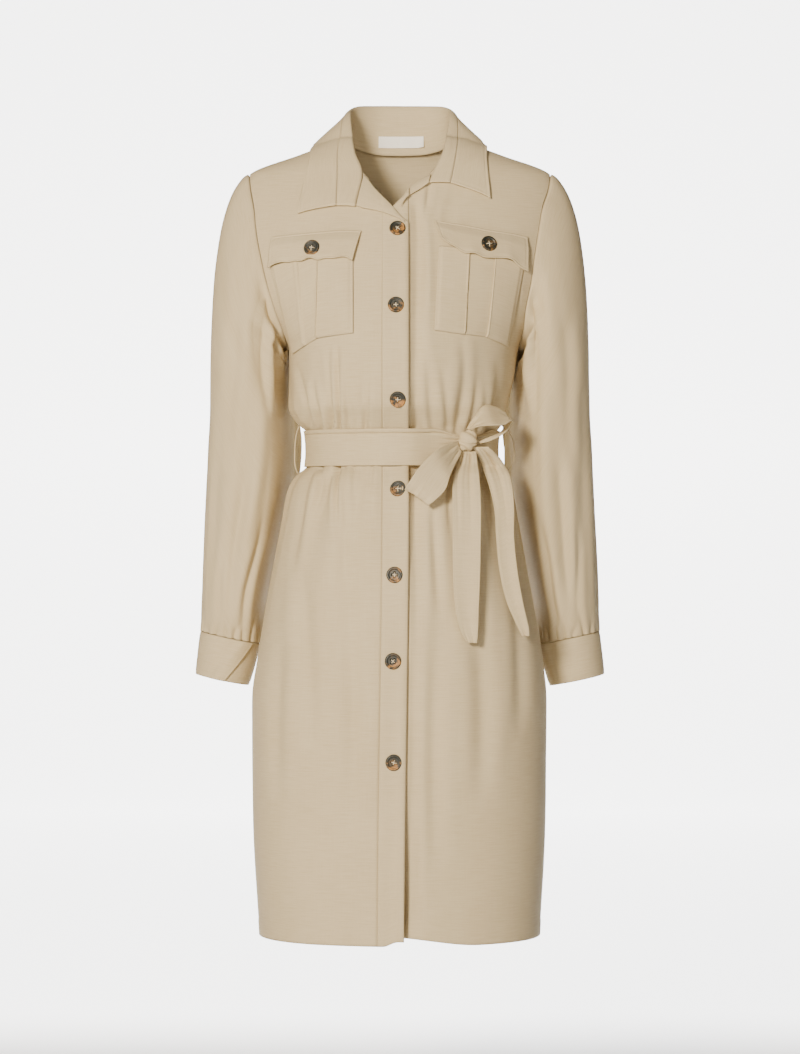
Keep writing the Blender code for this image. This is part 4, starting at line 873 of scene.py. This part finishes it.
# %% Laying cloth on the chest
def chest_at(place, lift):
    """Point of the front, its band and its lap at x and z, moved out by lift along the front's normal."""
    x, drop = place[..., 0], -place[..., 1]
    angle, inwards = angle_at(x, drop), x - closure(drop)
    point = body_point(angle, drop, plain=True)
    a = point - body_point(angle + 0.02, drop, plain=True)
    b = body_point(angle, drop + 1.0, plain=True) - point
    normal = np.cross(b, a)
    normal *= -np.sign(normal[..., 1:2]) / length_of(normal)
    on_band = smooth((inwards + BAND_WIDTH / 2 + 1) / 2) * (1 - smooth((inwards - BAND_WIDTH / 2) / 2))
    point[..., 1] -= np.where(inwards < -BAND_WIDTH / 2, lap(x, drop), 0) + on_band * (LAP_RAISE + 1.8)
    return point + normal * lift[..., None]


def sheet_between(rows, low, high, cols, lines):
    """Flat strip between two edge curves of a table: its places as (x, z), s across it and t up it."""
    bottom, top = curve(rows, low, cols, "xz"), curve(rows, high, cols, "xz")
    t = np.linspace(0, 1, lines)[:, None]
    return bottom + (top - bottom) * t[..., None], np.linspace(0, 1, cols)[None, :], t


FACING = both("roll_x roll_z free_x free_z", [
    (-44.5, -51, -53, -92), (-38, -59, -45, -95), (-31, -69, -34, -97), (-20, -81, -22, -100),
    (-10, -92, -11, -104), (-2, -102, -2, -108), (5, -110, 5.5, -113)], [
    (38, -50.5, 35, -63), (30, -55, 27, -69), (21, -60, 18.5, -74), (13, -67, 9.5, -80), (7, -75, 4, -87),
    (2.5, -84, 1, -93)])
for side, name in SIDES:
    place, s, t = sheet_between(FACING[side], "free", "roll", 60, 22)
    lift = 2.2 + (1 - s) * ((1 - t) * 3.0 + 1.6 * np.sin(np.pi * t)) + 0.3 * np.sin(7 - 6 * s) * (1 - t)
    cloth("facing_" + name, chest_at(place, lift), wall=1.0, outward=to_front)

# %% Chest pockets and their flaps
POCKET = both("top_x top_z bottom_x bottom_z", [
    (-57, -152, -56, -249), (-78, -152, -78, -251), (-98, -153, -98, -253), (-101, -153, -101, -254),
    (-115, -155, -110, -259), (-129, -158, -119, -264), (-132, -158, -121, -265), (-145, -161, -126, -268),
    (-158, -164, -130, -270)], [
    (47, -142, 41, -246), (64, -144, 58, -248), (82, -146, 75, -250), (85, -147, 78, -250),
    (100, -150, 91, -251), (115, -152, 103, -252), (118, -153, 106, -253), (134, -158, 118, -257),
    (151, -165, 131, -262)])
FLAP = both("top_x top_z bottom_x bottom_z", [
    (-47, -123.5, -57, -160), (-62, -123, -70, -159), (-78, -123, -88, -158.5), (-95, -124, -100, -159.5),
    (-110, -125, -112, -159), (-126, -126, -124, -160), (-142, -127, -138, -161.5),
    (-157, -128, -158, -165)], [
    (42, -110, 50, -137), (58, -113, 62, -143), (74, -115, 77, -151), (91, -118, 92, -155),
    (107, -121, 108, -157), (124, -123, 124, -157), (140, -125, 139, -163), (156, -128, 153, -171)])
PLEAT = {-1: (0.36, 0.58), 1: (0.34, 0.66)}    # the box pleat's two folded edges, as shares of the width


def pocket_lift(s, t, side):
    """Sides stand 1.6 mm over a recessed middle; each folded edge is a rounded step that casts a line."""
    a, b = PLEAT[side]
    a, b = a + 0.02 * np.sin(5 * t + side), b + 0.03 * (1 - t) * side
    inside = smooth((s - a) / 0.012 + 0.5) * smooth((b - s) / 0.012 + 0.5)
    lips = (2.0 if side < 0 else 1.3) * bell((s - a + 0.03) / 0.025) + 0.9 * bell((s - b - 0.025) / 0.02)
    return 2.2 + 1.6 * (1 - inside) + lips + 0.7 * np.sin(np.pi * s) * np.sin(np.pi * t)


for side, name in SIDES:
    place, s, t = sheet_between(POCKET[side], "bottom", "top", 126, 66)
    edge = np.minimum(np.minimum(s, 1 - s) * 90, t * 96)
    lift = pocket_lift(s, t, side) * (0.55 + 0.45 * smooth(edge / 4)) + seam_line(edge, 2.0, 0.6)
    lift = lift + 0.25 * noise(place[..., 0] / 14, place[..., 1] / 24, 41 + side)
    cloth("pocket_" + name, chest_at(place, lift), wall=0.9, outward=to_front)
    place, s, t = sheet_between(FLAP[side], "bottom", "top", 110, 44)
    wavy = (1 - t) ** 3 * (0.9 * np.sin(17 * s + side) + 0.6 * np.sin(31 * s + 2 * side))
    edge = np.minimum(np.minimum(s, 1 - s) * 100, np.minimum(t, 1 - t) * 36)
    lift = 5.4 + 2.2 * (1 - t) ** 2 - 3.0 * smooth((t - 0.6) / 0.4) + seam_line(edge, 2.6, 0.6) + 0.8 * wavy
    place[..., 1] += wavy * (1 - t)
    cloth("flap_" + name, chest_at(place, lift), wall=1.4, outward=to_front)

# %% [markdown]
# The belt is a doubled strip that grips the waist; it covers the gathers, so it runs on the plain surface
# a few millimetres out. Its own seam and a rolled fold show as lines along it. The bow is the same strip:
# two loops, two hanging ends and the turn that wraps them, each its own ribbon between two edge curves.

# %% The belt
BELT_MIDDLE, BELT_WIDTH, BELT_CLEAR = 386.5, 45.0, 3.0
KNOT_X, KNOT_DROP = 82.0, 378.0


def belt_grid(cols=350, rows=44):
    """Ribbon round the waist, narrowed at the knot: body_point at BELT_CLEAR plus the bump of the band."""
    share, v = np.linspace(0, 1, cols), np.linspace(0.5, -0.5, rows)[:, None]
    turn = angle_at(KNOT_X, KNOT_DROP) - 0.105 - (2 * np.pi - 0.21) * share
    near = 1 - smooth(np.minimum(share, 1 - share) / 0.055)
    drop = BELT_MIDDLE + v * BELT_WIDTH * (1 - 0.52 * near) - 8 * 0.52 * near
    x = body_point(turn, drop, plain=True)[..., 0]
    bump = np.where(x < 20, lap(x, drop) + 2.4 * smooth((x + 27) / 6), 0.0)
    bump = np.where(x >= 8, (LAP_RAISE + 2.4) * (1 - smooth((x - 8) / 34)), bump)
    roll = 2.0 * bell(((0.5 + v) * BELT_WIDTH - 5.0 + 3.0 * smooth((x - 20) / 60)) / 1.3)
    front = np.where(np.cos(turn) > 0, bump - roll, 0.0)
    edge = (0.5 - np.abs(v)) * BELT_WIDTH
    pull = near * 1.3 * np.sin(v * 34 + 2.0 * share)
    soft = 0.35 * noise(turn * 9, v * 3, 51) + 0.6 * smooth(edge / 2.5) + seam_line(edge, 2.6, 0.6)
    base = BELT_CLEAR - gathers(turn, drop) - folds(turn, drop)
    points = body_point(turn, drop, base + front + pull + soft, plain=True)
    return points, stack(arc(points, 1), v * BELT_WIDTH)


points, uv = belt_grid()
cloth("belt", points, wall=1.6, outward=from_axis, uv=uv)

# %% The bow's loops and tails
LOOP = {
    "bow_loop_right": table("a_x a_y a_z b_x b_y b_z", [
        (68, -98, -381, 72.5, -96, -394), (56, -110, -385, 66, -109, -406),
        (40, -127, -394, 58, -127, -424), (22, -134, -412, 52, -132, -441),
        (8, -136, -432, 38, -134, -455), (3.5, -132, -440, 31, -130, -459),
        (10, -128.5, -434, 35, -127, -453), (26, -123, -411, 52, -124, -438),
        (45, -111, -391, 59, -113, -415), (64, -93, -384, 66.5, -93, -396)]),
    "bow_loop_left": table("a_x a_y a_z b_x b_y b_z", [
        (86, -98, -361, 82, -89, -360), (97, -112, -358, 91, -97, -347), (112, -124, -357, 103, -92, -332),
        (126, -120, -356, 117, -85, -333), (136, -112, -351, 128, -82, -340),
        (136, -104, -355, 132, -83, -349), (128, -101, -365, 126, -86, -362),
        (112, -100, -374, 112, -90, -371), (98.5, -92, -378, 98, -85, -377)]),
}
TAIL = {
    "bow_tail_front": table("left right drop out", [
        (76, 93, 394, 8), (71, 94.5, 408, 9), (64.5, 97, 430, 10), (64, 98.5, 465, 9), (64, 98, 510, 7),
        (64.5, 97, 550, 6), (67, 95.5, 585, 6), (73, 94.5, 610, 6), (81, 93, 626, 6)]),
    "bow_tail_side": table("left right drop out", [
        (92, 112, 387, 18), (101, 126, 402, 16), (107, 137, 420, 12), (113, 141, 438, 10),
        (119, 143, 465, 8), (121, 143, 500, 8), (125, 147, 540, 8), (133, 153, 575, 9),
        (146, 160, 606, 11), (152, 161, 618, 12)]),
}


def ribbon_relief(s, t, seed):
    """Cross-section of a soft strip: stitched edges, long pleats that fan out from the knot and fade."""
    edge = np.minimum(t, 1 - t) * 34
    near = 1 - smooth(np.minimum(s, 1.2 - s) / 0.5)
    fan = near * (1.7 * np.sin(t * 13 + seed) + 0.7 * np.sin(t * 27 + 2 * seed))
    return 0.4 * smooth(edge / 2.5) + seam_line(edge, 2.4, 0.6) + fan + 0.3 * noise(s * 9, t * 4, 60 + seed)


def loop_grid(rows, seed, cols=120, across=34):
    """Ribbon between two splined edges; its middle arches by 1.5 * sin(pi t) and carries the relief."""
    a, b = curve(rows, "a", cols), curve(rows, "b", cols)
    t, s = np.linspace(0, 1, across)[:, None], np.linspace(0, 1, cols)
    grid = a + (b - a) * t[..., None]
    ends = np.minimum(s, 1 - s)
    height = ribbon_relief(2 * ends, t, seed) * 0.8 * smooth(ends / 0.08) - 1.5 * np.sin(np.pi * t)
    return grid + grid_normal(grid) * height[..., None]


def tail_grid(rows, seed, count=150, across=34):
    """Hanging end: edges from the table, depth just clear of the front, a shallow channel down its middle."""
    left, right, drop, out = spline(stack(*rows.values()), count).T[..., None]
    s, t = np.linspace(0, 1, count)[:, None], np.linspace(0, 1, across)
    x = left + (right - left) * t
    behind = body_point(angle_at(x, drop), drop, plain=True)[..., 1]
    y = behind.min(axis=1, keepdims=True) - out + 2.2 * np.sin(np.pi * t)
    twist = 0.8 * np.sin(3.5 * s + seed) * (t - 0.5)
    return stack(x, y - twist - 1.2 * ribbon_relief(0.9 * s, t, seed) * smooth(s / 0.05), -drop)


def cad_shift(name, grid):
    """Moves a grid so that its box is centred on the CAD piece's box: the bow there is seated on its knot."""
    return grid + (np.sum(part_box(name), axis=0) / MM - grid.min(axis=(0, 1)) - grid.max(axis=(0, 1))) / 2


for seed, (name, rows) in enumerate(LOOP.items(), 1):
    cloth(name, cad_shift(name, loop_grid(rows, seed)), wall=1.3, side=0.0)
for seed, (name, rows) in enumerate(TAIL.items(), 3):
    cloth(name, cad_shift(name, tail_grid(rows, seed)), wall=1.3, outward=to_front)

# %% The knot and the belt carriers
def knot_grid(rows=46, cols=70):
    """Slanted ball of half sizes 12.2, 8.8 and 13.2 mm; soft turns and one deep groove scale its radius."""
    u = (np.linspace(-1, 1, rows) * 0.495 * np.pi)[:, None]
    v = np.linspace(0, 2 * np.pi, cols)
    wound = 0.97 + 0.08 * np.sin(7.0 * u + 1.6 * np.sin(v)) - 0.16 * bell((u - 0.5 * np.sin(v + 0.6)) / 0.1)
    x, z = 12.2 * np.cos(u) * np.cos(v) * wound, 13.2 * np.sin(u) * wound
    y = 8.8 * np.cos(u) * np.sin(v) * wound
    lean = np.radians(-32)
    return stack(x * np.cos(lean) - z * np.sin(lean), y, x * np.sin(lean) + z * np.cos(lean))


knot = cad_shift("belt_knot", knot_grid())
middle = knot.mean(axis=(0, 1))
cloth("belt_knot", knot, wall=0.8, side=-1.0, outward=lambda c, n: np.sum(n * (c - middle), axis=-1))

CARRIER = both("out drop", [
    (123.6, 358), (126, 364), (128, 372), (129, 382), (129.3, 395), (129, 406), (125.9, 417)], [
    (126, 357), (132.5, 362), (139, 373), (141, 384), (141.2, 396), (138, 408), (129, 418)])
for side, name in SIDES:
    out, drop = spline(stack(*CARRIER[side].values()), 60).T
    y = np.linspace(-4, 4, 12)[:, None]
    grid = stack(side * (out + 0.4 * np.cos(np.pi * y / 8)), y, -drop)
    cloth("belt_loop_" + name, cad_shift("belt_loop_" + name, grid), wall=1.2,
          outward=lambda c, n: n[:, 0] * c[:, 0])

# %% [markdown]
# Tortoiseshell buttons are turned from mottled polyester resin: a near-black green with amber clouds,
# polished so that the rim takes a highlight. A button is a height field on a disc: a rounded rim, a
# shallow dish and four drilled holes, sewn on with a cross of cream thread.

# %% Resin, thread and label tape
def grain(tree, scale, **settings):
    """Noise on the piece's own place; scale is in grains for each millimetre."""
    at = add(tree, "TexCoord").outputs["Object"]
    mm = add(tree, "VectorMath", {"operation": "SCALE", "Scale": 1000.0}, Vector=at)
    return add(tree, "TexNoise", {"Scale": scale, "Detail": 2.0, **settings}, Vector=mm.outputs[0]).outputs[0]


def tortoise():
    """Polished resin: noise, raised towards the lower rim as a painted glow of light through the resin,
    through a ramp from green-black to amber.
    """
    made, tree, shader = material("tortoiseshell resin, polished", Roughness=0.5, IOR=1.56, Coat_Weight=0.06,
                                  Coat_Roughness=0.12)
    face = add(tree, "SeparateXYZ", Vector=add(tree, "UVMap").outputs[0])
    # painted light: every button turns amber towards its lower rim, a painted glow of light shining through
    # the resin
    lower = add(tree, "MapRange", {"From Min": 0.004, "From Max": -0.009, "To Min": 0.0, "To Max": 0.17},
                Value=face.outputs["Y"])
    clouds = grain(tree, 0.11, Distortion=0.8)
    mottle_and_painted_glow = add(tree, "Math", {"operation": "ADD"}, i0=clouds, i1=lower.outputs[0])
    ramp = add(tree, "ValToRGB", Fac=mottle_and_painted_glow.outputs[0])
    stops = ramp.color_ramp.elements
    stops.new(0.60)
    for stop, place, code in zip(stops, (0.50, 0.60, 0.72), ("#1e221d", "#4a3a22", "#a8773c")):
        stop.position, stop.color = place, linear(code)
    tree.links.new(ramp.outputs[0], shader.inputs["Base Color"])
    return made


def plain(name, colour, roughness, scale):
    """Fine-fibred finish of one colour: noise at a real scale in mm gives the bump."""
    made, tree, shader = material(name, Base_Color=linear(colour), Roughness=roughness)
    bump = add(tree, "Bump", {"Strength": 0.3, "Distance": 0.0001}, Height=grain(tree, 1 / scale))
    tree.links.new(bump.outputs[0], shader.inputs["Normal"])
    return made


RESIN = tortoise()
THREAD = plain("cream sewing thread, spun polyester", "#d8cbb0", 0.7, 0.3)
FINISH["tape"] = plain("white label tape, woven satin", "#fbfaf7", 0.55, 0.5)
print("materials:", [m.name for m in (*FINISH.values(), RESIN, THREAD)])

# %% The buttons
HOLES_AT = np.pi / 4 + np.arange(4) * np.pi / 2
HOLE_CIRCLE = 3.0


def disc(spokes=72, radius=10.0):
    """Button as (r, a) -> height: rounded rim, dish inside 7 mm, four bell-shaped holes on their circle."""
    r = np.concatenate([np.linspace(0.05, 5.0, 22), np.linspace(5.3, radius, 12)])[:, None]
    a = np.linspace(0, 2 * np.pi, spokes, endpoint=False)
    x, y = r * np.cos(a), r * np.sin(a)
    height = 1.75 + 1.05 * smooth((r - 6.3) / 1.2) - 1.6 * smooth((r - 8.6) / 1.4) ** 2
    for b in HOLES_AT:
        away = (x - HOLE_CIRCLE * np.cos(b)) ** 2 + (y - HOLE_CIRCLE * np.sin(b)) ** 2
        height = height - 1.5 * bell(away / 1.15)
    top = stack(x, y, height)
    return np.concatenate([top, top[-1:] * [0.86, 0.86, 0]])


def turn_to(normal, spin):
    """Rotation matrix from +z to the normal, after a spin about it."""
    x = np.cross([0.0, 0.0, 1.0], normal)
    x /= np.linalg.norm(x)
    y = np.cross(normal, x)
    c, s = math.cos(spin), math.sin(spin)
    return stack(x * c + y * s, y * c - x * s, normal)


def bar(a, b, rise, radius=0.55, steps=9, sides=8):
    """Thread between two holes: a tube whose middle rises by rise * sin(pi t)."""
    t = np.linspace(0, 1, steps)[:, None]
    line = (1 - t) * a + t * b + [0, 0, rise] * np.sin(np.pi * t)
    side = np.cross((b - a) / np.linalg.norm(b - a), [0, 0, 1.0])
    turn = np.linspace(0, 2 * np.pi, sides, endpoint=False)[:, None]
    return line[:, None] + radius * (np.cos(turn) * side + np.sin(turn) * [0, 0, 1])


def capped(grid, start=0):
    """Faces of a tube's grid, wound to look outwards, with both of its ends closed."""
    rows, cols = grid.shape[:2]
    ends = [np.arange(cols), np.arange((rows - 1) * cols, rows * cols)[::-1]]
    return [(f + start).tolist() for f in (*quads(rows, cols, True)[:, ::-1], *ends)]


def button(cad, spin):
    """Disc and thread on the CAD button's own seat, turned by spin."""
    points = np.array([v.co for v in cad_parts[cad].data.vertices]) / MM
    _, _, axes = np.linalg.svd(points - points.mean(axis=0), full_matrices=False)
    normal = axes[2] * -np.sign(axes[2][1])
    seat = np.sum(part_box(cad), axis=0) / MM / 2 - normal * 1.4
    turn = turn_to(normal, spin)
    grid = disc()
    placed = grid.reshape(-1, 3) @ turn.T
    wear(mesh_of(cad + "_resin", placed + seat, capped(grid), placed[:, [0, 2]], RESIN), cad)
    holes = stack(HOLE_CIRCLE * np.cos(HOLES_AT), HOLE_CIRCLE * np.sin(HOLES_AT), 1.1)
    tubes = [bar(holes[0], holes[2], 1.35), bar(holes[1], holes[3], 1.0)]
    sets = capped(tubes[0]) + capped(tubes[1], tubes[0][..., 0].size)
    points = np.concatenate(tubes).reshape(-1, 3)
    wear(mesh_of(cad + "_thread", points @ turn.T + seat, sets, None, THREAD), None)


# each button's turn in radians: no two are sewn on alike
SPINS = {"button_1": 0.2, "button_2": 0.9, "button_3": 0.75, "button_4": 0.8, "button_5": 0.75,
         "button_6": 0.1, "button_7": 0.5, "flap_button_right": 0.7, "flap_button_left": 0.85}
for cad, spin in SPINS.items():
    button(cad, spin)
print("buttons:", len(SPINS))

# %% The label
across, t = np.linspace(-27, 30, 60), np.linspace(0, 1, 24)[:, None]
inner = spline(stack(*(COLLAR[1]["seam_" + k] for k in "xyz"))[:3], 30)
curl = 2.6 * smooth((across - 20) / 10) * (1 - t) ** 2 + 0.5 * np.sin(across / 7) * (1 - t)
rise = -3.5 + 15 * t
y = np.interp(np.abs(across), inner[:, 0], inner[:, 1]) - 2.2 + 0.19 * np.maximum(rise, -1) - curl
label = stack(across, y, rise + 1.2 * smooth((across - 22) / 9) * (1 - t))
cloth("neck_label", cad_shift("neck_label", label), wall=0.5, side=0.0, outward=to_front, kind="tape")

# %% [markdown]
# Each piece is cut flat before it is sewn. The sizes are those of what shows, all round on a tube,
# without seam allowances; a doubled strip counts once, because it is sewn and pressed as one.

# %% [markdown]
# The studio is plain: a pale floor that sweeps up behind into the backdrop, one wide soft light from the
# front left, a weaker one from the right to open the shadows, and an even pale surround.

# %% Studio and camera
def sweep():
    """Floor and backdrop as one surface: flat to 4.6 m behind, then a quarter circle of 1 m, then upright."""
    t = np.linspace(0, np.pi / 2, 24)
    y = np.concatenate([[-9.0], 4.6 + np.sin(t), [5.6]])[:, None]
    z = np.concatenate([[-1.25], -0.25 - np.cos(t), [5.0]])[:, None]
    grid = stack(np.array([-9.0, 9.0]), y, z) / MM
    return mesh_of("studio_sweep", grid.reshape(-1, 3), quads(*grid.shape[:2])[:, ::-1], None,
                   plain("matt studio paper", "#f4f4f4", 0.9, 3.0))


def glow(piece, strength):
    """Lit patch of paper behind the dress: strength times a smoothstep in y, in |x| and in z (metres)."""
    tree = piece.active_material.node_tree
    shader = tree.nodes["Principled BSDF"]
    place = add(tree, "SeparateXYZ", Vector=add(tree, "TexCoord").outputs["Object"])
    aside = add(tree, "Math", {"operation": "ABSOLUTE"}, i0=place.outputs["X"])
    spans = ((place.outputs["Y"], 0.3, 1.1), (aside.outputs[0], 1.9, 1.35), (place.outputs["Z"], 1.7, 1.25))
    y, x, z = (add(tree, "MapRange", {"interpolation_type": "SMOOTHSTEP", "From Min": near, "From Max": far},
                   Value=source).outputs[0] for source, near, far in spans)
    level = add(tree, "Math", {"operation": "MULTIPLY"}, i0=y, i1=x)
    level = add(tree, "Math", {"operation": "MULTIPLY"}, i0=level.outputs[0], i1=z)
    level = add(tree, "Math", {"operation": "MULTIPLY", 1: strength}, i0=level.outputs[0])
    shader.inputs["Emission Color"].default_value = linear("#f6f6f6")
    tree.links.new(level.outputs[0], shader.inputs["Emission Strength"])
    return piece


def put(name, data, at, turn):
    """Lamp or camera put into the scene at a place, turned by three angles."""
    made = bpy.data.objects.new(name, data)
    made.location, made.rotation_euler = at, turn
    bpy.context.scene.collection.objects.link(made)
    return made


def light(name, kind, at, aim, power, **shape):
    """Warm white light that looks from at towards aim; shape names the lamp's own sizes."""
    lamp = bpy.data.lights.new(name, kind)
    lamp.energy, lamp.color = power, linear("#fff0d8")[:3]
    for key, value in shape.items():
        setattr(lamp, key, value)
    put(name, lamp, at, (Vector(aim) - Vector(at)).to_track_quat("-Z", "Y").to_euler())


glow(sweep(), 4.8)
light("key", "AREA", (-1.6, -4.2, 0.7), (0, 0, -0.5), 325, size=0.8)
light("fill", "AREA", (1.9, -4.0, -0.2), (0, 0, -0.5), 22, size=2.0)
light("neck", "SPOT", (0.0, -2.6, -0.1), (0, 0.05, -0.01), 100, spot_size=math.radians(6), spot_blend=1.0,
      shadow_soft_size=0.12)
world = bpy.data.worlds.new("even pale surround")
world.use_nodes = True
surround = world.node_tree.nodes["Background"].inputs
surround["Color"].default_value, surround["Strength"].default_value = linear("#f6f6f6"), 0.08
bpy.context.scene.world = world

FAR, LEVEL, FRAME_HEIGHT = 4.0, -0.484, 1.3175
lens = bpy.data.cameras.new("camera")
lens.sensor_fit = "VERTICAL"
lens.angle = 2 * math.atan(FRAME_HEIGHT / 2 / FAR)
bpy.context.scene.camera = put("camera", lens, (0, -FAR, LEVEL), (math.pi / 2, 0, 0))
